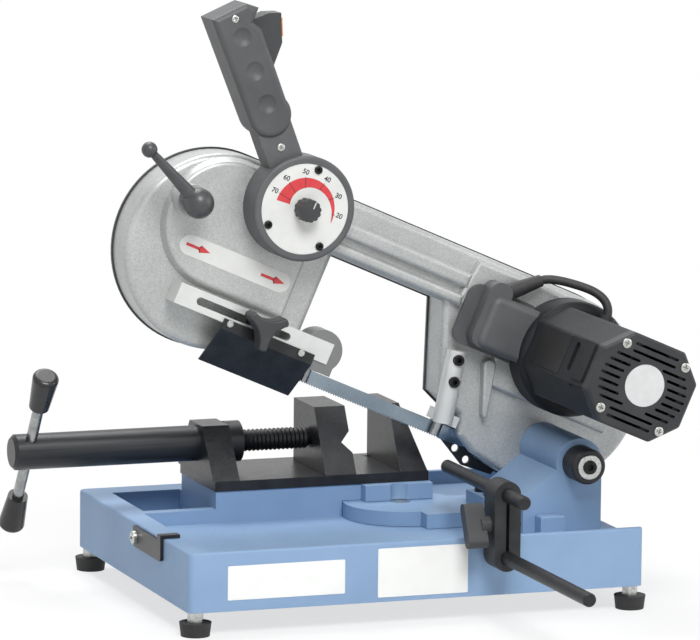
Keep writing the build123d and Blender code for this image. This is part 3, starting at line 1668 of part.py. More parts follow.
post_radius = 9
post_y = bow_front - post_radius
post_top = (-116, 50)
post_along = (14, -64.5)
post_length = math.hypot(*post_along)
post_screws = [
    (post_top[0] + post_along[0] * share, post_top[1] + post_along[1] * share)
    for share in (0.12, 0.42)
]
post_screw_radius = 2.5
with BuildPart() as guide_post:
    with BuildSketch(along_plane(*post_top, post_y, *post_along)):
        Circle(post_radius)
        with Locations((post_radius / 2, 0)):
            Rectangle(post_radius, post_radius * 1.4)
    extrude(amount=post_length)
    with BuildSketch(bow_plane(block_back)):
        with Locations((right_guide_u, (block_bottom + block_top) / 2)):
            Rectangle(block_length, block_top - block_bottom)
    extrude(amount=block_back - post_y)
    for side in (-1, 1):
        with BuildSketch(up_plane(right_guide_u, roller_bottom, blade_y + side * roller_offset)):
            Circle(roller_pin_radius)
        extrude(amount=block_top - roller_bottom)
    with BuildSketch(bow_plane(bow_front)):
        with Locations(*post_screws):
            Circle(post_screw_radius)
    extrude(amount=2 * post_radius, mode=Mode.SUBTRACT)
    with BuildSketch(bow_plane(post_y - post_radius)):
        with Locations(*post_screws):
            Circle(2 * post_screw_radius)
    extrude(amount=-post_radius / 3, mode=Mode.SUBTRACT)
save(guide_post, "guide_post")

with BuildPart() as socket_screws:
    with BuildSketch(bow_plane(bow_front)):
        with Locations(*post_screws):
            Circle(post_screw_radius)
    extrude(amount=post_radius * 5 / 3)
    with BuildSketch(bow_plane(post_y - post_radius * 2 / 3)):
        with Locations(*post_screws):
            Circle(1.9 * post_screw_radius)
            RegularPolygon(post_screw_radius, 6, mode=Mode.SUBTRACT)
    extrude(amount=post_screw_radius * 2)
    with BuildSketch(bow_plane(cap_front + cap_wall)):
        Circle(cap_screw_radius)
    extrude(amount=cap_wall)
    with BuildSketch(bow_plane(cap_front)):
        Circle(cap_screw_radius * 2)
    extrude(amount=cap_screw_radius)
    with BuildSketch(bow_plane(cap_front - cap_screw_radius)):
        RegularPolygon(cap_screw_radius, 6)
    extrude(amount=-cap_screw_radius, mode=Mode.SUBTRACT)
save(socket_screws, "socket_screws")

save(roller(left_guide_u, -1), "left_roller_front")
save(roller(left_guide_u, 1), "left_roller_back")
save(roller(right_guide_u, -1), "right_roller_front")
save(roller(right_guide_u, 1), "right_roller_back")

# Blade guard: a bent sheet under the guide bar, screwed to the lower edge of the bar's front
star_boss_radius = 5
guard_left = -337
guard_right = guide_bar_right - 14
guard_thickness = 2
guard_top = guide_bar_v - star_boss_radius - slide_gap
guard_knee = -10
guard_tip = -44
guard_tip_y = bow_front - 2
guard_screw_drop = 3
guard_screw_v = guard_top - guard_screw_drop
guard_screws = [(guard_left + 2 * guard_screw_drop, guard_screw_v), (head_u - head_radius, guard_screw_v)]
guard_screw_radius = 1.5
guard_front = guide_bar_front - guard_thickness
with BuildPart() as blade_guard:
    with BuildSketch(side_plane(guard_left, 0, 0)):
        with BuildLine():
            Polyline(
                (guide_bar_front, guard_top),
                (guard_front, guard_top),
                (guard_front, guard_knee - guard_thickness / 2),
                (guard_tip_y - guard_thickness, guard_tip),
                (guard_tip_y, guard_tip),
                (guide_bar_front, guard_knee),
                close=True,
            )
        make_face()
    extrude(amount=guard_right - guard_left)
    with BuildSketch(bow_plane(guide_bar_front)):
        with Locations(*guard_screws):
            Circle(guard_screw_radius)
    extrude(amount=guard_thickness, mode=Mode.SUBTRACT)
    with BuildSketch(bow_plane(guide_bar_back)):
        with Locations((head_u, guide_bar_v)):
            Circle(head_radius + slide_gap)
    extrude(amount=guide_bar_back - head_front + slide_gap, mode=Mode.SUBTRACT)
save(blade_guard, "blade_guard")

with BuildPart() as guard_bolts:
    with BuildSketch(bow_plane(guide_bar_front)):
        with Locations(*guard_screws):
            Circle(guard_screw_radius)
    extrude(amount=guard_thickness)
    with BuildSketch(bow_plane(guard_front)):
        with Locations(*guard_screws):
            Circle(2 * guard_screw_radius)
    extrude(amount=guard_screw_radius)
save(guard_bolts, "guard_bolts")

# Star knob that clamps the guide bar to the casting
star_boss_length = 8
star_length = 18
star_reach = 20
star_shoulder = 18.6
star_shoulder_angle = 12
star_valley = 8
star_round = 2
star_arms = (40, 160, 280)
star_back = guide_bar_front - slide_gap


def star_point(radius, angle):
    """A place round the clamp stud on the bow, at a radius and an angle in degrees."""
    turn = math.radians(angle)
    return guide_stud_u + radius * math.cos(turn), guide_bar_v + radius * math.sin(turn)


with BuildPart() as guide_knob:
    with BuildSketch(bow_plane(star_back)):
        with Locations((guide_stud_u, guide_bar_v)):
            Circle(star_boss_radius)
    extrude(amount=star_boss_length)
    with BuildSketch(bow_plane(star_back - star_boss_length)):
        with BuildLine():
            for arm in star_arms:
                ThreePointArc(
                    star_point(star_shoulder, arm - star_shoulder_angle),
                    star_point(star_reach, arm),
                    star_point(star_shoulder, arm + star_shoulder_angle),
                )
                ThreePointArc(
                    star_point(star_shoulder, arm + star_shoulder_angle),
                    star_point(star_valley, arm + 60),
                    star_point(star_shoulder, arm + 120 - star_shoulder_angle),
                )
        make_face()
    extrude(amount=star_length)
    fillet(front_edges(guide_knob), star_round)
    with BuildSketch(bow_plane(pocket_front)):
        with Locations((guide_stud_u, guide_bar_v)):
            Circle(guide_stud_radius)
    extrude(amount=pocket_front - star_back)
save(guide_knob, "guide_knob")

# Tension lever: a shaft through the lever boss with an eccentric pin behind and a ball-ended arm in front
lever_boss_front = panel_front - lever_boss_length
lever_hub_radius = 13.5
lever_hub_y = lever_boss_front - slide_gap - lever_hub_radius
lever_root_radius = 6.2
lever_neck_radius = 3.6
lever_ball_radius = 7
lever_root = math.sqrt(lever_hub_radius**2 - lever_root_radius**2)
lever_neck = lever_length - math.sqrt(lever_ball_radius**2 - lever_neck_radius**2)
hub_x, hub_z = bow_point(lever_u, lever_v)
lever_plane = front_plane(hub_x, lever_hub_y, hub_z, 2 * bow_lean - 180)
with BuildPart() as tension_lever:
    with BuildSketch(lever_plane):
        with BuildLine():
            ThreePointArc((-lever_hub_radius, 0), (0, lever_hub_radius), (lever_root, lever_root_radius))
            Line((lever_root, lever_root_radius), (lever_neck, lever_neck_radius))
            ThreePointArc(
                (lever_neck, lever_neck_radius),
                (lever_length, lever_ball_radius),
                (lever_length + lever_ball_radius, 0),
            )
            Line((lever_length + lever_ball_radius, 0), (-lever_hub_radius, 0))
        make_face()
    revolve(axis=Axis(lever_plane.origin, lever_plane.x_dir))
    with BuildSketch(bow_plane(pocket_front)):
        with Locations((lever_u, lever_v)):
            Circle(lever_shaft_radius)
    extrude(amount=pocket_front - lever_hub_y)
    with BuildSketch(bow_plane(carriage_back)):
        with Locations((lever_u, lever_v - lever_throw)):
            Circle(eccentric_radius)
    extrude(amount=carriage_back - pocket_front)
save(tension_lever, "tension_lever")
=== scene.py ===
"""Looks of a bench-top metal cutting band saw: paints, steels, plastics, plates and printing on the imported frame."""

import json
import math

import bmesh
import bpy
import numpy as np
from mathutils import Matrix, Vector


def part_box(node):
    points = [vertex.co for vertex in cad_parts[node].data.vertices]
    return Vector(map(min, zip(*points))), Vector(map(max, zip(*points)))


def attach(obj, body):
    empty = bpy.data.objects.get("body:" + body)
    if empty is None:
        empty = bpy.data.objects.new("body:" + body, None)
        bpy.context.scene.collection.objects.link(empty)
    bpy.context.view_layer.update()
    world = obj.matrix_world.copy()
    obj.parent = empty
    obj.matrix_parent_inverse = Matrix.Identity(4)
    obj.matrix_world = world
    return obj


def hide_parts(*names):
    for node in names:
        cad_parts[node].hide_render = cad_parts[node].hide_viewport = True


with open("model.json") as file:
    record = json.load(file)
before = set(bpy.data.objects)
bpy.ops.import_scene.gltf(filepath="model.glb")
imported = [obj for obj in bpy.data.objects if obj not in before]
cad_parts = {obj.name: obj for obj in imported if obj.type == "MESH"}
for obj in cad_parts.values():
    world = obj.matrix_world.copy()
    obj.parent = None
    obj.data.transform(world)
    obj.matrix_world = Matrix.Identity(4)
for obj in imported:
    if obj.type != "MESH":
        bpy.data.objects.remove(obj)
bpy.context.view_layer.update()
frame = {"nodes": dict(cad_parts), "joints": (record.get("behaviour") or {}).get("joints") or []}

# Camera: a long lens from the front left, a little above the saw. The place, the turns and the focal length
# are those of the photograph, whose optical axis lies left of the middle of the frame.
PHOTO_WIDTH, PHOTO_HEIGHT = 700, 640
FOCAL_PX = 5633.2
AXIS_PX = (304.1, 319.6)
SENSOR_MM = 36.0
eye = Vector((-1.6893, -4.6350, 1.0029))
yaw, pitch, roll = math.radians(19.462), math.radians(8.767), math.radians(0.51)
ahead = Vector((math.sin(yaw) * math.cos(pitch), math.cos(yaw) * math.cos(pitch), -math.sin(pitch)))
level_right = Vector((math.cos(yaw), -math.sin(yaw), 0))
level_up = level_right.cross(ahead)
camera_right = math.cos(roll) * level_right + math.sin(roll) * level_up
camera_up = math.cos(roll) * level_up - math.sin(roll) * level_right
camera_data = bpy.data.cameras.new("camera")
camera_data.sensor_fit = "HORIZONTAL"
camera_data.sensor_width = SENSOR_MM
camera_data.lens = FOCAL_PX / PHOTO_WIDTH * SENSOR_MM
camera_data.shift_x = (PHOTO_WIDTH / 2 - AXIS_PX[0]) / PHOTO_WIDTH
camera_data.shift_y = (AXIS_PX[1] - PHOTO_HEIGHT / 2) / PHOTO_WIDTH
camera_data.clip_end = 50
camera = bpy.data.objects.new("camera", camera_data)
camera.matrix_world = Matrix((camera_right, camera_up, -ahead)).transposed().to_4x4()
camera.location = eye
bpy.context.scene.collection.objects.link(camera)
bpy.context.scene.camera = camera
bpy.context.scene.view_settings.view_transform = "Standard"

# Motor lead: a short rubber-sheathed cable from the switch box's sleeve over into a grommet on the motor's top.
# The sheath is extruded rubber, and both ends are held, so it rides with the bow. Places on the bow are given
# as (u, v, y): u along it from the hinge, v up it, and y towards the back.
MM = 0.001
joints = {joint["name"]: joint for joint in frame["joints"]}
hinge = np.array(joints["bow_hinge"]["pos_m"]) * np.array([1, 0, 1])
bow_along = np.array(joints["guide_slide"]["axis"])
bow_up = np.array(joints["roller_a_spin"]["axis"])


def on_bow(u, v, y):
    """World place in metres: the hinge, plus u along the bow, plus v up it, at the depth y, all in millimetres."""
    return hinge + MM * (u * bow_along + v * bow_up + y * np.array([0, 1, 0]))


def srgb(code):
    """A hex colour as linear RGBA: each channel through the sRGB curve."""
    parts = [int(code[i : i + 2], 16) / 255 for i in (1, 3, 5)]
    return tuple(p / 12.92 if p <= 0.04045 else ((p + 0.055) / 1.055) ** 2.4 for p in parts) + (1.0,)


def add(tree, kind, settings=None, links=None):
    """Add one node: settings are attributes or input values, links are inputs fed by other nodes' sockets."""
    node = tree.nodes.new(kind)
    for name, value in (settings or {}).items():
        if isinstance(name, int) or name in node.inputs:
            node.inputs[name].default_value = value
        else:
            setattr(node, name, value)
    for name, socket in (links or {}).items():
        tree.links.new(socket, node.inputs[name])
    return node


TONE_SPAN, GRAIN_SPAN = (0.32, 0.68), (0.3, 0.7)
EDGE_BREAK, RELIEF_STRENGTH = 0.5, 0.6


def surface_finish(name, tones, gloss, lump, grain, depth, metallic=0.0, specular=0.5, stretch=(1, 1, 1)):
    """A whole finish from two noises on Object coordinates, with sizes in millimetres: lumps run the colour
    between two tones, and a grain runs the roughness between two values and lifts the surface by depth. Corners
    catch the light as if broken by half a millimetre. Real grains are finer, and are drawn at 1 mm or so to show."""
    material = bpy.data.materials.new(name)
    material.use_nodes = True
    tree = material.node_tree
    place = add(tree, "ShaderNodeTexCoord").outputs["Object"]
    place = add(tree, "ShaderNodeMapping", {"Scale": stretch}, {"Vector": place}).outputs["Vector"]
    lumps = add(tree, "ShaderNodeTexNoise", {"Scale": 1 / (lump * MM), "Detail": 4.0}, {"Vector": place})
    tone = add(tree, "ShaderNodeValToRGB", None, {"Fac": lumps.outputs["Fac"]})
    for stop, position, colour in zip(tone.color_ramp.elements, TONE_SPAN, tones):
        stop.position = position
        stop.color = srgb(colour)
    pits = add(tree, "ShaderNodeTexNoise", {"Scale": 1 / (grain * MM), "Detail": 3.0}, {"Vector": place})
    spans = {"From Min": GRAIN_SPAN[0], "From Max": GRAIN_SPAN[1], "To Min": gloss[0], "To Max": gloss[1]}
    shine = add(tree, "ShaderNodeMapRange", spans, {"Value": pits.outputs["Fac"]})
    edges = add(tree, "ShaderNodeBevel", {"samples": 4, "Radius": EDGE_BREAK * MM}).outputs["Normal"]
    lift = {"Strength": RELIEF_STRENGTH, "Distance": depth * MM}
    relief = add(tree, "ShaderNodeBump", lift, {"Height": pits.outputs["Fac"], "Normal": edges})
    shader = tree.nodes["Principled BSDF"]
    shader.inputs["Metallic"].default_value = metallic
    shader.inputs["Specular IOR Level"].default_value = specular
    tree.links.new(tone.outputs["Color"], shader.inputs["Base Color"])
    tree.links.new(shine.outputs["Result"], shader.inputs["Roughness"])
    tree.links.new(relief.outputs["Normal"], shader.inputs["Normal"])
    return material


def dress(material, *names):
    """Give CAD nodes a finish in place of their plain one."""
    for name in names:
        frame["nodes"][name].data.materials.clear()
        frame["nodes"][name].data.materials.append(material)


# Extruded rubber is a soft black with an uneven, slightly dusty sheen. Its pits are drawn at 0.7 mm to show.
sheath_rubber = surface_finish(
    "extruded_sheath_rubber", ("#1B1B1D", "#252527"), gloss=(0.48, 0.68), lump=6, grain=0.7, depth=0.05
)
LEAD_RADIUS = 4
lead_route = [(-70, 136, -26), (-61.65, 143.16, -26), (-9.73, 147, -56), (-9.73, 124.5, -56)]
lead_line = bpy.data.curves.new("motor_lead_line", "CURVE")
lead_line.dimensions = "3D"
lead_line.bevel_depth = LEAD_RADIUS * MM
lead_line.bevel_resolution = 6
lead_line.use_fill_caps = True
lead_spline = lead_line.splines.new("NURBS")
lead_spline.points.add(len(lead_route) - 1)
lead_spline.points.foreach_set("co", np.array([[*on_bow(*stop), 1] for stop in lead_route]).ravel())
lead_spline.order_u = 3
lead_spline.use_endpoint_u = True
lead_spline.resolution_u = 16
motor_lead = bpy.data.objects.new("motor_lead_cable", lead_line)
bpy.context.scene.collection.objects.link(motor_lead)
lead_line.materials.append(sheath_rubber)
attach(motor_lead, "bow")
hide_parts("motor_lead")
dress(sheath_rubber, "motor_lead")

# Studio: a pale floor, a white room and three soft lamps. Camera, mirror and see-through rays meet plain white,
# while the room lights the saw more dimly. The floor's matt paint turns to that white away from the saw, so only
# the saw's own shadow shows on it.
WHITE = (1, 1, 1, 1)
ROOM_LIGHT = 0.27


def eye_rays(tree):
    """A socket that is one for rays from the camera, a mirror or a see-through surface, and nought for others."""
    path = add(tree, "ShaderNodeLightPath").outputs
    seen = add(tree, "ShaderNodeMath", {"operation": "MAXIMUM"}, {0: path["Is Camera Ray"], 1: path["Is Glossy Ray"]})
    through = {0: seen.outputs[0], 1: path["Is Transmission Ray"]}
    return add(tree, "ShaderNodeMath", {"operation": "MAXIMUM"}, through).outputs[0]


world = bpy.data.worlds.new("white_room")
bpy.context.scene.world = world
world.use_nodes = True
tree = world.node_tree
level = add(tree, "ShaderNodeMapRange", {"To Min": ROOM_LIGHT, "To Max": 1.0}, {"Value": eye_rays(tree)})
room = tree.nodes["Background"]
room.inputs["Color"].default_value = WHITE
tree.links.new(level.outputs["Result"], room.inputs["Strength"])

FLOOR_HALF = 12.0
SHADOW_NEAR, SHADOW_FAR = 0.25, 0.9
NEAR_WHITE, FAR_WHITE = 0.7, 1.0
floor_paint = surface_finish(
    "matt_white_floor_paint", ("#F2F2F2", "#F7F7F7"), gloss=(0.85, 0.95), lump=80, grain=8, depth=0.05
)
tree = floor_paint.node_tree
place = add(tree, "ShaderNodeTexCoord").outputs["Object"]
away = add(tree, "ShaderNodeVectorMath", {"operation": "LENGTH"}, {0: place}).outputs["Value"]
spans = {"From Min": SHADOW_NEAR, "From Max": SHADOW_FAR, "To Min": NEAR_WHITE, "To Max": FAR_WHITE}
fade = add(tree, "ShaderNodeMapRange", {**spans, "interpolation_type": "SMOOTHSTEP"}, {"Value": away})
shown = {0: eye_rays(tree), 1: fade.outputs["Result"]}
share = add(tree, "ShaderNodeMath", {"operation": "MULTIPLY"}, shown)
glow = add(tree, "ShaderNodeEmission", {"Color": WHITE, "Strength": 1.0})
painted = tree.nodes["Principled BSDF"].outputs["BSDF"]
blend = add(tree, "ShaderNodeMixShader", None, {0: share.outputs[0], 1: painted, 2: glow.outputs["Emission"]})
tree.links.new(blend.outputs["Shader"], tree.nodes["Material Output"].inputs["Surface"])
floor_mesh = bpy.data.meshes.new("floor")
floor_corners = FLOOR_HALF * np.array([(-1, -1, 0), (1, -1, 0), (1, 1, 0), (-1, 1, 0)])
floor_mesh.from_pydata(floor_corners.tolist(), [], [(0, 1, 2, 3)])
floor_mesh.materials.append(floor_paint)
floor = bpy.data.objects.new("floor", floor_mesh)
bpy.context.scene.collection.objects.link(floor)

lamp_aim = Vector((0.0, 0.0, 0.2))
for lamp_name, lamp_place, lamp_size, lamp_power in (
    ("key_softbox", Vector((-0.25, -1.75, 1.95)), 1.0, 46),
    ("top_softbox", Vector((-0.1, 0.9, 2.2)), 1.4, 32),
    ("right_softbox", Vector((2.6, -1.6, 1.2)), 1.4, 16),
):
    lamp_data = bpy.data.lights.new(lamp_name, "AREA")
    lamp_data.energy = lamp_power
    lamp_data.size = lamp_size
    lamp = bpy.data.objects.new(lamp_name, lamp_data)
    lamp.matrix_world = (lamp_aim - lamp_place).to_track_quat("-Z", "Y").to_matrix().to_4x4()
    lamp.location = lamp_place
    bpy.context.scene.collection.objects.link(lamp)

# Base: an aluminium casting with a vise pedestal and trays, under light blue enamel, and the swivel arm and
# bracket cast and painted with it. Sprayed enamel is satin, faintly orange-peeled, and changes tone slowly.
blue_enamel = surface_finish(
    "light_blue_enamel_on_casting",
    ("#84A0C2", "#8CA8C9"),
    gloss=(0.42, 0.55),
    lump=70,
    grain=3.2,
    depth=0.06,
    specular=0.25,
)
dress(blue_enamel, "base_casting", "bow_bracket", "swivel_arm")

# Base plates: two thin printed plates stuck on the base's front wall, here left bare. Each is a slab of white
# printed film with a narrow rounded edge, whiter and smoother than the lacquered sheet of the dial.
film_white = surface_finish(
    "white_printed_film", ("#EBECEA", "#EFF0EE"), gloss=(0.3, 0.36), lump=20, grain=2, depth=0.004
)
X_AXIS, Y_AXIS, Z_AXIS = np.eye(3)
MERGE_GAP, SLIVER = 1e-7, 1e-8


def rounded_outline(width, height, corner, count=64):
    """A rectangle with round corners as (count, 2): going round by the angle, each quarter is a corner's arc,
    pushed out to that corner's middle, and the straight sides join the arcs."""
    turn = (np.arange(count) + 0.5) / count * 2 * math.pi
    way = np.stack([np.cos(turn), np.sin(turn)], axis=1)
    return np.sign(way) * (np.array([width, height]) / 2 - corner) + way * corner


def piece_from_grid(name, grid, origin, right, up, material, body):
    """A closed piece from a grid of points (rows, columns, 3) in millimetres: four neighbours make a face and the
    last column joins the first. The grid's axes are right, up and their cross product, from origin. Its poles
    and seams are merged and its faces turned outwards."""
    rows, columns = grid.shape[:2]
    index = np.arange(rows * columns).reshape(rows, columns)
    index = np.hstack([index, index[:, :1]])
    faces = np.stack([index[:-1, :-1], index[:-1, 1:], index[1:, 1:], index[1:, :-1]], axis=-1).reshape(-1, 4)
    places = origin + MM * grid.reshape(-1, 3) @ np.stack([right, up, np.cross(right, up)])
    mesh = bpy.data.meshes.new(name)
    mesh.from_pydata(places.tolist(), [], faces.tolist())
    shell = bmesh.new()
    shell.from_mesh(mesh)
    bmesh.ops.remove_doubles(shell, verts=shell.verts, dist=MERGE_GAP)
    bmesh.ops.dissolve_degenerate(shell, edges=shell.edges, dist=SLIVER)
    bmesh.ops.recalc_face_normals(shell, faces=shell.faces)
    shell.to_mesh(mesh)
    shell.free()
    mesh.materials.append(material)
    piece = bpy.data.objects.new(name, mesh)
    bpy.context.scene.collection.objects.link(piece)
    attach(piece, body)
    return piece


def slab_grid(outline, thickness, edge):
    """A flat plate's grid: the outline carried from its middle at the back, out to the rim, up the side, in over
    a narrow edge and to its middle in front."""
    reach = np.linalg.norm(outline, axis=1, keepdims=True)
    inner = outline * (1 - edge / reach)
    middle = 0 * outline
    rings = [(middle, 0), (outline, 0), (outline, thickness - edge), (inner, thickness), (middle, thickness)]
    return np.stack([np.column_stack([ring, np.full(len(ring), height)]) for ring, height in rings])


PLATE_CORNER, PLATE_THICKNESS, PLATE_EDGE = 1.2, 0.4, 0.15
for plate_name, plate_left, plate_right, plate_low, plate_high in (
    ("front_plate_long", -175, -68.5, 30.6, 60.5),
    ("front_plate_short", -38.3, 44.8, 25, 68),
):
    plate_outline = rounded_outline(plate_right - plate_left, plate_high - plate_low, PLATE_CORNER)
    plate_middle = MM * np.array([(plate_left + plate_right) / 2, 0, (plate_low + plate_high) / 2])
    plate_middle[1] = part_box("base_casting")[0][1]
    plate_grid = slab_grid(plate_outline, PLATE_THICKNESS, PLATE_EDGE)
    piece_from_grid(plate_name, plate_grid, plate_middle, X_AXIS, Z_AXIS, film_white, "base")

# Feet: moulded black rubber pads on zinc-plated studs with nuts. The rubber is dull; plated steel is a bright
# grey with a fine crystalline grain, drawn at 0.8 mm to show.
foot_rubber = surface_finish(
    "moulded_black_rubber", ("#212122", "#2B2B2C"), gloss=(0.55, 0.75), lump=8, grain=0.8, depth=0.06
)
dress(foot_rubber, "rubber_feet", "drive_tyre", "idler_tyre")
zinc_plate = surface_finish(
    "zinc_plated_steel", ("#A9ABA7", "#CFD1CE"), gloss=(0.24, 0.4), lump=2, grain=0.8, depth=0.01, metallic=1.0
)
dress(zinc_plate, "foot_studs", "guard_bolts", "swivel_pin", "bow_screws")

# Vise: a steel bed, stand and two jaws, ground and then blackened in a bath. The black is thin, satin and uneven,
# over the grain left by the grinding, which is drawn at 1.5 mm to show. The latch and the guard are finished so
# too.
black_steel = surface_finish(
    "ground_blackened_steel",
    ("#1D1E20", "#2C2D30"),
    gloss=(0.26, 0.42),
    lump=16,
    grain=1.5,
    depth=0.025,
    metallic=0.3,
)
dress(black_steel, "vise_plate", "vise_stand", "moving_jaw", "fixed_jaw", "latch", "vise_screw", "blade_guard")

# Vise tube: a drawn steel tube that turns the vise screw, with the tommy bar through its end. Its dark grey satin
# coat is faintly streaked along its length by the drawing. The streaks are drawn 25 times as long as wide.
tube_coat = surface_finish(
    "coated_drawn_tube",
    ("#202124", "#2E3033"),
    gloss=(0.28, 0.4),
    lump=3,
    grain=1.2,
    depth=0.015,
    metallic=0.3,
    stretch=(0.04, 1, 1),
)
dress(tube_coat, "vise_tube")

# Tommy bar: drawn steel with a moulded knob pressed on each end. Drawing leaves a smooth, softly shining grey,
# with a faint grain drawn at 0.9 mm to show. The knobs are glossy black phenolic. The other bright pins and the
# guide rollers are of the same steel.
drawn_steel = surface_finish(
    "bright_drawn_steel", ("#8F9192", "#ABADAD"), gloss=(0.2, 0.34), lump=7, grain=0.9, depth=0.01, metallic=1.0
)
dress(drawn_steel, "tommy_bar", "hinge_pin", "drive_shaft")
dress(drawn_steel, "left_roller_front", "left_roller_back", "right_roller_front", "right_roller_back")
phenolic = surface_finish(
    "glossy_black_phenolic", ("#1A1B1D", "#1F2022"), gloss=(0.25, 0.28), lump=20, grain=4, depth=0.004
)
dress(phenolic, "tommy_knobs")

# Material stop: two rods of blackened bar, a split clamp and a wing knob that tightens it. The rods are a dull
# black, the clamp is iron under a slightly rough paint, and the knob is moulded nylon with the spark grain of its
# mould, drawn at 0.9 mm to show.
rod_black = surface_finish(
    "blackened_round_bar", ("#1B1C1E", "#27292C"), gloss=(0.38, 0.52), lump=5, grain=1.0, depth=0.02, metallic=0.3
)
dress(rod_black, "stop_rod_low", "stop_rod_high")
iron_paint = surface_finish(
    "dark_grey_paint_on_iron",
    ("#242527", "#2F3032"),
    gloss=(0.4, 0.56),
    lump=12,
    grain=1.6,
    depth=0.08,
    specular=0.35,
)
dress(iron_paint, "stop_clamp")
moulded_nylon = surface_finish(
    "moulded_dark_nylon", ("#2F3032", "#3A3B3D"), gloss=(0.38, 0.54), lump=30, grain=0.9, depth=0.04
)
dress(moulded_nylon, "wing_knob", "guide_knob", "speed_knob", "trigger")

# Screws: socket screws have a thin, slightly oily black oxide, and cross-recessed pan heads hold the motor's cap,
# the dial, its stem, the grip and the rear cover. Each head is pressed from wire, with a domed top and the cross
# sunk into it.
black_oxide = surface_finish(
    "black_oxide_steel", ("#222223", "#303031"), gloss=(0.28, 0.46), lump=3, grain=0.8, depth=0.01, metallic=0.8
)
dress(black_oxide, "base_screws", "bracket_screws", "socket_screws", "grip_fasteners")
SKIRT_SHARE, DOME_REACH = 0.45, 0.92
CROSS_HALF, CROSS_ARM, CROSS_WALL, CROSS_DEPTH = 0.16, 0.62, 0.14, 0.75


def cross_head_grid(radius, height, count=72, rings=26):
    """A pan head's grid over radius and angle: a dome that falls to its rim, less a cross whose arms have sloping
    walls, closed by a skirt down to the seat and a flat bottom."""
    turn = np.arange(count) / count * 2 * math.pi
    reach = np.linspace(0, 1, rings)[:, None]
    across, along = radius * reach * np.cos(turn), radius * reach * np.sin(turn)
    dome = height * (SKIRT_SHARE + (1 - SKIRT_SHARE) * np.sqrt(1 - (DOME_REACH * reach) ** 2)) + 0 * turn
    half, arm, wall = CROSS_HALF * radius, CROSS_ARM * radius, CROSS_WALL * radius
    across_in = [np.clip((limit - np.abs(across)) / wall, 0, 1) for limit in (half, arm)]
    along_in = [np.clip((limit - np.abs(along)) / wall, 0, 1) for limit in (half, arm)]
    cross = np.maximum(across_in[0] * along_in[1], across_in[1] * along_in[0])
    top = np.stack([across, along, dome - CROSS_DEPTH * height * cross], axis=-1)
    rim = np.stack([across[-1], along[-1], 0 * turn], axis=-1)
    return np.concatenate([top, rim[None], rim[None] * 0])


def cross_head(name, place, right, up, material, body, radius=3.6, height=2.0):
    """One pan head seated at a world place."""
    return piece_from_grid(name, cross_head_grid(radius, height), place, right, up, material, body)


# Latch screw: the strip on the base's left wall hangs on one zinc-plated screw with a tall, domed head and a
# cross. It is screwed into the wall and stays with the base.
latch_screw_place = MM * np.array([-213.2, -20, 62])
cross_head("latch_screw", latch_screw_place, -Y_AXIS, Z_AXIS, zinc_plate, "base", radius=5.9, height=4.7)

# Hinge: a painted iron cap over the pin's end, with a bright turned washer and a socket screw on its front.
# The washer is one profile turned round the hinge, with its outer corner broken.
dress(iron_paint, "hinge_cap")
WASHER_INNER, WASHER_OUTER, WASHER_THICKNESS, WASHER_BREAK, WASHER_SIDES = 6.2, 11.0, 1.4, 0.4, 72
hinge_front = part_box("hinge_cap")[0][1] / MM
washer_turn = np.arange(WASHER_SIDES) / WASHER_SIDES * 2 * math.pi
washer_profile = np.array(
    [
        (WASHER_INNER, 0),
        (WASHER_OUTER, 0),
        (WASHER_OUTER, WASHER_THICKNESS - WASHER_BREAK),
        (WASHER_OUTER - WASHER_BREAK, WASHER_THICKNESS),
        (WASHER_INNER, WASHER_THICKNESS),
        (WASHER_INNER, 0),
    ]
)
washer_grid = np.stack(
    [
        washer_profile[:, :1] * np.cos(washer_turn),
        washer_profile[:, :1] * np.sin(washer_turn),
        washer_profile[:, 1:] + 0 * washer_turn,
    ],
    axis=-1,
)
piece_from_grid("hinge_washer", washer_grid, on_bow(0, 0, hinge_front), bow_along, bow_up, zinc_plate, "bow")

# Bow: an aluminium casting in silver metallic paint. Flakes in the paint sparkle finely, and the sand of the mould
# pebbles it. Both are drawn at about 1 mm to show.
silver_paint = surface_finish(
    "silver_metallic_paint_on_casting",
    ("#ADAFAE", "#B9BBBA"),
    gloss=(0.3, 0.46),
    lump=45,
    grain=1.3,
    depth=0.1,
    metallic=0.35,
)
FLAKE, FLAKE_SHARE = 1.0, 0.3
MIX_SHARE, MIX_FIRST, MIX_SECOND, MIX_RESULT = 0, 6, 7, 2  # a Mix node's sockets when it mixes colours
tree = silver_paint.node_tree
place = add(tree, "ShaderNodeTexCoord").outputs["Object"]
flakes = add(tree, "ShaderNodeTexVoronoi", {"Scale": 1 / (FLAKE * MM)}, {"Vector": place}).outputs["Color"]
grey_flakes = add(tree, "ShaderNodeRGBToBW", None, {"Color": flakes}).outputs["Val"]
tone = tree.nodes["Color Ramp"].outputs["Color"]
sparkle = {"data_type": "RGBA", "blend_type": "SOFT_LIGHT", MIX_SHARE: FLAKE_SHARE}
flaked = add(tree, "ShaderNodeMix", sparkle, {MIX_FIRST: tone, MIX_SECOND: grey_flakes})
tree.links.new(flaked.outputs[MIX_RESULT], tree.nodes["Principled BSDF"].inputs["Base Color"])
dress(silver_paint, "bow_casting")

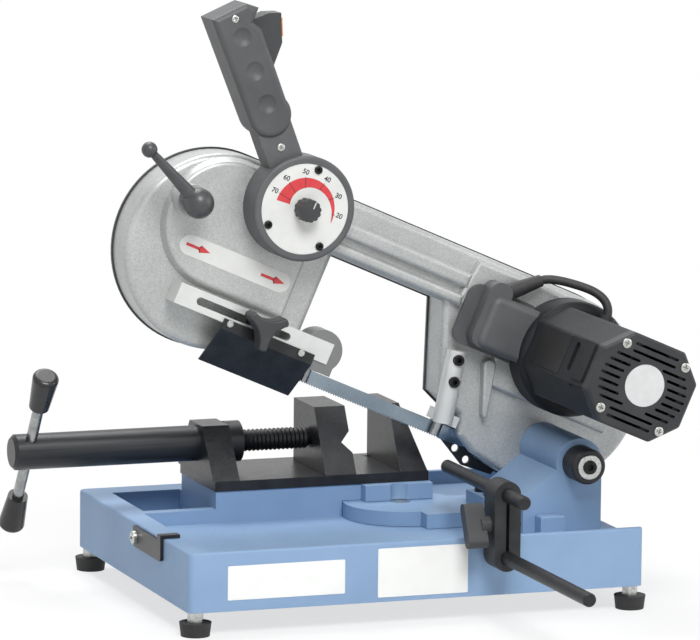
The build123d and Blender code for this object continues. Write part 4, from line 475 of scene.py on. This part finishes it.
# Rear cover: a pressed steel sheet that closes the bow at the back, in a satin dark grey paint. Pan-head screws
# hold it, three round each wheel and two along the beam.
cover_paint = surface_finish(
    "dark_paint_on_sheet", ("#2E3032", "#3A3C3E"), gloss=(0.36, 0.5), lump=40, grain=2, depth=0.03
)
dress(cover_paint, "rear_cover")
WHEEL_V, COVER_RING = 50, 80
COVER_SIDES = ((-355, (125, 180, 235)), (-12, (60, 5, -50)))
COVER_BEAM = ((-236, 92.5), (-162, 92.5))
cover_places = [
    (wheel_u + COVER_RING * math.cos(math.radians(turn)), WHEEL_V + COVER_RING * math.sin(math.radians(turn)))
    for wheel_u, turns in COVER_SIDES
    for turn in turns
]
cover_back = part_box("rear_cover")[1][1] / MM
for number, (u, v) in enumerate((*cover_places, *COVER_BEAM)):
    cross_head(f"cover_screw_{number}", on_bow(u, v, cover_back), -bow_along, bow_up, zinc_plate, "bow")

# Bow label: an oval sheet stuck on the idler panel, white and faintly glossy, here bare but for two plain red
# arrows along the blade's run. Sheet and ink are thin slabs, and the ink is a flat, even red.
lacquer_white = surface_finish(
    "white_lacquered_sheet", ("#D4D5D2", "#DADBD8"), gloss=(0.34, 0.4), lump=14, grain=2, depth=0.01
)
red_ink = surface_finish(
    "red_printing_ink", ("#C8363A", "#D04045"), gloss=(0.35, 0.5), lump=6, grain=0.8, depth=0.01
)
PANEL_FRONT = -20
LABEL_U, LABEL_V, LABEL_LENGTH, LABEL_HEIGHT, LABEL_CORNER = -342, 45.8, 110, 18.5, 9.2
LABEL_THICKNESS, LABEL_EDGE = 0.3, 0.15
label_grid = slab_grid(rounded_outline(LABEL_LENGTH, LABEL_HEIGHT, LABEL_CORNER), LABEL_THICKNESS, LABEL_EDGE)
label_place = on_bow(LABEL_U, LABEL_V, PANEL_FRONT)
piece_from_grid("oval_label", label_grid, label_place, bow_along, bow_up, lacquer_white, "bow")
ARROW_TIP, ARROW_NECK, ARROW_BARB, ARROW_SHAFT = 12, 2, 3.4, 1.3
ARROW_INK, ARROW_EDGE, ARROW_PLACES = 0.1, 0.04, (-379, -304)
arrow_upper = [(ARROW_NECK, ARROW_BARB), (ARROW_NECK, ARROW_SHAFT), (-ARROW_TIP, ARROW_SHAFT)]
arrow_lower = [(-ARROW_TIP, -ARROW_SHAFT), (ARROW_NECK, -ARROW_SHAFT), (ARROW_NECK, -ARROW_BARB)]
arrow_grid = slab_grid(np.array([(ARROW_TIP, 0), *arrow_upper, *arrow_lower]), ARROW_INK, ARROW_EDGE)
for number, arrow_u in enumerate(ARROW_PLACES):
    arrow_place = on_bow(arrow_u, LABEL_V, PANEL_FRONT - LABEL_THICKNESS)
    piece_from_grid(f"label_arrow_{number}", arrow_grid, arrow_place, bow_along, bow_up, red_ink, "bow")

# Tension lever: a turned steel lever with a ball at each end, on a shaft through the idler panel. Its coat is a
# smooth, satin dark grey.
lever_coat = surface_finish(
    "satin_grey_coat_on_steel", ("#393B3D", "#454749"), gloss=(0.3, 0.42), lump=10, grain=1.2, depth=0.02
)
dress(lever_coat, "tension_lever")

# Inside the bow: cast iron wheels on their shafts, the idler's carriage, the gears and the motor's iron. Iron is
# a mid grey, and a film of oil dulls it in patches.
oiled_iron = surface_finish(
    "oiled_grey_iron", ("#5C5D5E", "#7F8081"), gloss=(0.4, 0.58), lump=6, grain=1.4, depth=0.05, metallic=0.8
)
dress(oiled_iron, "drive_wheel", "idler_wheel", "idler_carriage", "drive_gear", "motor_rotor", "motor_stator")

# Blade: a band of hardened spring steel with ground teeth, welded into a loop round both wheels. Its heat
# treatment leaves it a bright grey, blued in patches.
band_steel = surface_finish(
    "blued_spring_steel", ("#8493A0", "#9BA8B1"), gloss=(0.26, 0.36), lump=40, grain=1.2, depth=0.01, metallic=1.0
)
dress(band_steel, "blade")

# Motor: a moulded housing and vented cap of glass-filled nylon, near black with a satin moulded skin, the cap a
# little greyer. It is bolted to the bow, and four bright pan-head screws hold the cap.
motor_nylon = surface_finish(
    "satin_black_nylon",
    ("#222326", "#2A2B2E"),
    gloss=(0.42, 0.54),
    lump=40,
    grain=1.1,
    depth=0.03,
    specular=0.15,
)
dress(motor_nylon, "motor_housing")
cap_nylon = surface_finish(
    "matt_black_nylon", ("#2B2C2E", "#343537"), gloss=(0.42, 0.55), lump=30, grain=1.0, depth=0.04, specular=0.35
)
dress(cap_nylon, "motor_end_cap")
MOTOR_U, MOTOR_V, MOTOR_HALF_WIDTH = -17.73, 82.5, 47.5
CAP_SCREW_REACH = 30
cap_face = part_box("motor_end_cap")[0][1] / MM
for number, (side_u, side_v) in enumerate(((-1, -1), (1, -1), (1, 1), (-1, 1))):
    screw_place = on_bow(MOTOR_U + side_u * CAP_SCREW_REACH, MOTOR_V + side_v * CAP_SCREW_REACH, cap_face)
    cap_screw = cross_head(f"cap_screw_{number}", screw_place, bow_along, bow_up, zinc_plate, "bow", radius=4.2)
# One head stands for the solids' plain heads on the bow, which all have their pan head here.
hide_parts("bow_screws")

# Motor plates: a nameplate of anodised sheet stuck on the housing's left face, in an even deep black, and a round
# foil of satin silver on the cap. Both are left bare.
NAMEPLATE_LENGTH, NAMEPLATE_HEIGHT, NAMEPLATE_CORNER, NAMEPLATE_THICKNESS, NAMEPLATE_EDGE = 66, 36, 1.0, 0.5, 0.2
NAMEPLATE_Y, NAMEPLATE_RISE = -95, 1
nameplate_black = surface_finish(
    "black_anodised_plate", ("#141415", "#1C1C1D"), gloss=(0.34, 0.4), lump=10, grain=1.2, depth=0.005
)
nameplate_outline = rounded_outline(NAMEPLATE_LENGTH, NAMEPLATE_HEIGHT, NAMEPLATE_CORNER)
nameplate_grid = slab_grid(nameplate_outline, NAMEPLATE_THICKNESS, NAMEPLATE_EDGE)
nameplate_place = on_bow(MOTOR_U - MOTOR_HALF_WIDTH, MOTOR_V + NAMEPLATE_RISE, NAMEPLATE_Y)
piece_from_grid("motor_nameplate", nameplate_grid, nameplate_place, -Y_AXIS, bow_up, nameplate_black, "bow")
FOIL_RADIUS, FOIL_THICKNESS, FOIL_EDGE, FOIL_SIDES = 18.5, 0.3, 0.15, 96
FOIL_ALONG, FOIL_RISE = 1, 2
foil_silver = surface_finish(
    "satin_silver_foil", ("#C6C8C8", "#CED0D0"), gloss=(0.4, 0.5), lump=9, grain=1.0, depth=0.01
)
foil_outline = rounded_outline(2 * FOIL_RADIUS, 2 * FOIL_RADIUS, FOIL_RADIUS, FOIL_SIDES)
foil_grid = slab_grid(foil_outline, FOIL_THICKNESS, FOIL_EDGE)
foil_place = on_bow(MOTOR_U + FOIL_ALONG, MOTOR_V + FOIL_RISE, cap_face)
piece_from_grid("cap_foil", foil_grid, foil_place, bow_along, bow_up, foil_silver, "bow")

# Switch box: a box moulded in matt grey ABS beside the motor, with a rubber sleeve for the lead and a rubber
# grommet where the lead goes into the motor. The dial's housing is of the same plastic.
box_plastic = surface_finish(
    "matt_grey_abs", ("#4C4D4F", "#58595B"), gloss=(0.44, 0.6), lump=30, grain=1.0, depth=0.05
)
dress(box_plastic, "switch_box", "dial_housing")
dress(sheath_rubber, "lead_sleeves")

# Speed dial: a white lacquered plate screwed into the housing under a moulded knob, with plain numbers round a red
# arc that grows with the speed. The print is a thin layer of ink, the lines and numbers in an even black.
dress(lacquer_white, "dial_plate")
DIAL_U, DIAL_V, GRIP_TURN = -313, 113, math.radians(43.7)
grip_side = math.cos(GRIP_TURN) * bow_along + math.sin(GRIP_TURN) * bow_up
grip_up = math.cos(GRIP_TURN) * bow_up - math.sin(GRIP_TURN) * bow_along
dial_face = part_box("dial_plate")[0][1] / MM
dial_middle = on_bow(DIAL_U, DIAL_V, dial_face)
INK = 0.08
ARC_START, ARC_END, ARC_STEPS = -48.6, 141, 96
ARC_OUTER, ARC_INNER_START, ARC_INNER_END = 27.5, 27.1, 14.6
ARC_GROWTH = 0.8


def arc_inner_radius(share):
    """The arc's inner radius at a share of its sweep: it falls from start to end with a power of the share."""
    return ARC_INNER_START + (ARC_INNER_END - ARC_INNER_START) * share**ARC_GROWTH


def round_dial(angle):
    """The direction on the dial's face at an angle in degrees from the grip's side, turning up the grip."""
    turn = math.radians(angle)
    return math.cos(turn) * grip_side + math.sin(turn) * grip_up


arc_turn = np.radians(np.linspace(ARC_START, ARC_END, ARC_STEPS))
arc_inner = arc_inner_radius(np.linspace(0, 1, ARC_STEPS))
arc_outer = 0 * arc_inner + ARC_OUTER
arc_rings = [
    np.stack([ring * np.cos(arc_turn), ring * np.sin(arc_turn), 0 * ring + lift], axis=-1)
    for ring, lift in ((arc_inner, 0), (arc_inner, INK), (arc_outer, INK), (arc_outer, 0))
]
arc_grid = np.stack(arc_rings, axis=1)
arc_ends = [np.tile(arc_grid[end].mean(axis=0), (1, len(arc_rings), 1)) for end in (0, -1)]
arc_grid = np.concatenate([arc_ends[0], arc_grid, arc_ends[1]])
piece_from_grid("dial_arc", arc_grid, dial_middle, grip_side, grip_up, red_ink, "bow")
black_ink = surface_finish(
    "black_printing_ink", ("#1D1D1F", "#262628"), gloss=(0.35, 0.5), lump=6, grain=0.8, depth=0.01
)
DIAL_MARKS = {"20": -33.3, "30": -2.2, "40": 30.3, "50": 68.4, "60": 101.1, "70": 127.6}
TICK_LENGTH, TICK_WIDTH, TICK_CORNER, TICK_EDGE, TICK_SIDES, TICK_OVER = 13, 0.5, 0.2, 0.04, 16, 0.8
NUMBER_RING, NUMBER_SIZE, NUMBER_WEIGHT = 32.6, 6.2, 0.12
tick_outline = rounded_outline(TICK_LENGTH, TICK_WIDTH, TICK_CORNER, TICK_SIDES)
tick_grid = slab_grid(tick_outline, 2 * INK, TICK_EDGE)
for word, angle in DIAL_MARKS.items():
    outward = round_dial(angle)
    tick_inner = arc_inner_radius((angle - ARC_START) / (ARC_END - ARC_START))
    tick_length = ARC_OUTER + TICK_OVER - tick_inner
    tick_scale = np.array([tick_length / TICK_LENGTH, 1, 1])
    tick_place = dial_middle + MM * (tick_inner + tick_length / 2) * outward
    tick_up = np.cross(-Y_AXIS, outward)
    piece_from_grid(f"dial_tick_{word}", tick_grid * tick_scale, tick_place, outward, tick_up, black_ink, "bow")
    text = bpy.data.curves.new("number", "FONT")
    text.body = word
    text.size = NUMBER_SIZE * MM
    text.extrude = INK * MM
    text.offset = NUMBER_WEIGHT * MM
    text.align_x, text.align_y = "CENTER", "CENTER"
    text_object = bpy.data.objects.new("number", text)
    text_mesh = bpy.data.meshes.new_from_object(text_object)
    corners = np.empty(3 * len(text_mesh.vertices))
    text_mesh.vertices.foreach_get("co", corners)
    number_place = dial_middle + MM * NUMBER_RING * outward
    turned = number_place + corners.reshape(-1, 3) @ np.stack([bow_along, bow_up, -Y_AXIS])
    text_mesh.vertices.foreach_set("co", turned.ravel())
    text_mesh.materials.clear()
    text_mesh.materials.append(black_ink)
    bpy.data.objects.remove(text_object)
    number_piece = bpy.data.objects.new(f"dial_number_{word}", text_mesh)
    bpy.context.scene.collection.objects.link(number_piece)
    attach(number_piece, "bow")
DIAL_SCREW_RING, DIAL_SCREW_TURNS = 36, (50, 180, 272)
for number, angle in enumerate(DIAL_SCREW_TURNS):
    screw_place = dial_middle + MM * DIAL_SCREW_RING * round_dial(angle)
    cross_head(f"dial_screw_{number}", screw_place, bow_along, bow_up, black_oxide, "bow")
POINTER_LENGTH, POINTER_WIDTH, POINTER_CORNER, POINTER_SIDES = 6.0, 1.0, 0.4, 16
POINTER_THICKNESS, POINTER_EDGE, POINTER_RING = 0.15, 0.05, 6
knob_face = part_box("speed_knob")[0][1] / MM
pointer_way = 0.3 * bow_along + 0.95 * bow_up
pointer_place = on_bow(DIAL_U, DIAL_V, knob_face) + MM * POINTER_RING * pointer_way
pointer_outline = rounded_outline(POINTER_WIDTH, POINTER_LENGTH, POINTER_CORNER, POINTER_SIDES)
pointer_grid = slab_grid(pointer_outline, POINTER_THICKNESS, POINTER_EDGE)
piece_from_grid("knob_pointer", pointer_grid, pointer_place, bow_along, bow_up, lacquer_white, "speed_dial")

# Pistol grip: two moulded shells of nylon, a mid grey with a matt grain, screwed together with a bright screw in
# front and one in the stem under it. The lock button in the trigger is glossy orange ABS.
grip_nylon = surface_finish(
    "grained_grey_nylon", ("#444547", "#4F5052"), gloss=(0.42, 0.58), lump=30, grain=0.9, depth=0.05
)
dress(grip_nylon, "grip_shell_front", "grip_shell_back")
GRIP_SCREW_SINK, STEM_FRONT = 1.5, -44
grip_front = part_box("grip_shell_front")[0][1] / MM
for screw_name, side, rise, screw_y in (
    ("grip_screw", -2.1, 179, grip_front + GRIP_SCREW_SINK),
    ("stem_screw", -0.4, 57.6, STEM_FRONT),
):
    screw_place = on_bow(DIAL_U, DIAL_V, screw_y) + MM * (side * grip_side + rise * grip_up)
    cross_head(screw_name, screw_place, grip_side, grip_up, zinc_plate, "bow", radius=3.4, height=1.6)
orange_abs = surface_finish(
    "glossy_orange_abs", ("#DB7E33", "#E38D45"), gloss=(0.24, 0.38), lump=8, grain=1.5, depth=0.02
)
dress(orange_abs, "lock_button")

# Blade guides: a slotted bar of ground steel that slides on the bow, with a grey cast head at its end. Grinding
# leaves a bright face with a fine grain, drawn at 1 mm to show. The post at the drive end is a casting in bright
# silver paint, faintly pebbled.
ground_steel = surface_finish(
    "ground_bright_steel", ("#D2D4D2", "#DDDFDC"), gloss=(0.3, 0.42), lump=24, grain=1.0, depth=0.02, metallic=0.5
)
HEAD_LEFT, HEAD_FRONT = -259, -33.6
HEAD_SEAM, HEAD_STEP = 0.5, 0.3
tree = ground_steel.node_tree
place = add(tree, "ShaderNodeTexCoord").outputs["Object"]
head_start = float(on_bow(HEAD_LEFT, 0, 0) @ bow_along)
run = {"operation": "DOT_PRODUCT", 1: tuple(bow_along)}
along = add(tree, "ShaderNodeVectorMath", run, {0: place}).outputs["Value"]
span = {"From Min": head_start, "From Max": head_start + HEAD_SEAM * MM}
past = add(tree, "ShaderNodeMapRange", span, {"Value": along}).outputs["Result"]
depth = add(tree, "ShaderNodeSeparateXYZ", None, {0: place}).outputs["Y"]
span = {"From Min": HEAD_FRONT * MM, "From Max": (HEAD_FRONT + HEAD_STEP) * MM}
behind = add(tree, "ShaderNodeMapRange", span, {"Value": depth}).outputs["Result"]
cast = add(tree, "ShaderNodeMath", {"operation": "MULTIPLY"}, {0: past, 1: behind}).outputs[0]
tone = tree.nodes["Color Ramp"].outputs["Color"]
cast_grey = {"data_type": "RGBA", "blend_type": "MIX", MIX_SECOND: srgb("#7F8180")}
head_tone = add(tree, "ShaderNodeMix", cast_grey, {MIX_SHARE: cast, MIX_FIRST: tone}).outputs[MIX_RESULT]
tree.links.new(head_tone, tree.nodes["Principled BSDF"].inputs["Base Color"])
dress(ground_steel, "guide_bar")
post_paint = surface_finish(
    "bright_silver_paint_on_casting",
    ("#C8CAC9", "#D3D5D4"),
    gloss=(0.3, 0.44),
    lump=30,
    grain=1.3,
    depth=0.08,
    metallic=0.3,
)
dress(post_paint, "guide_post")
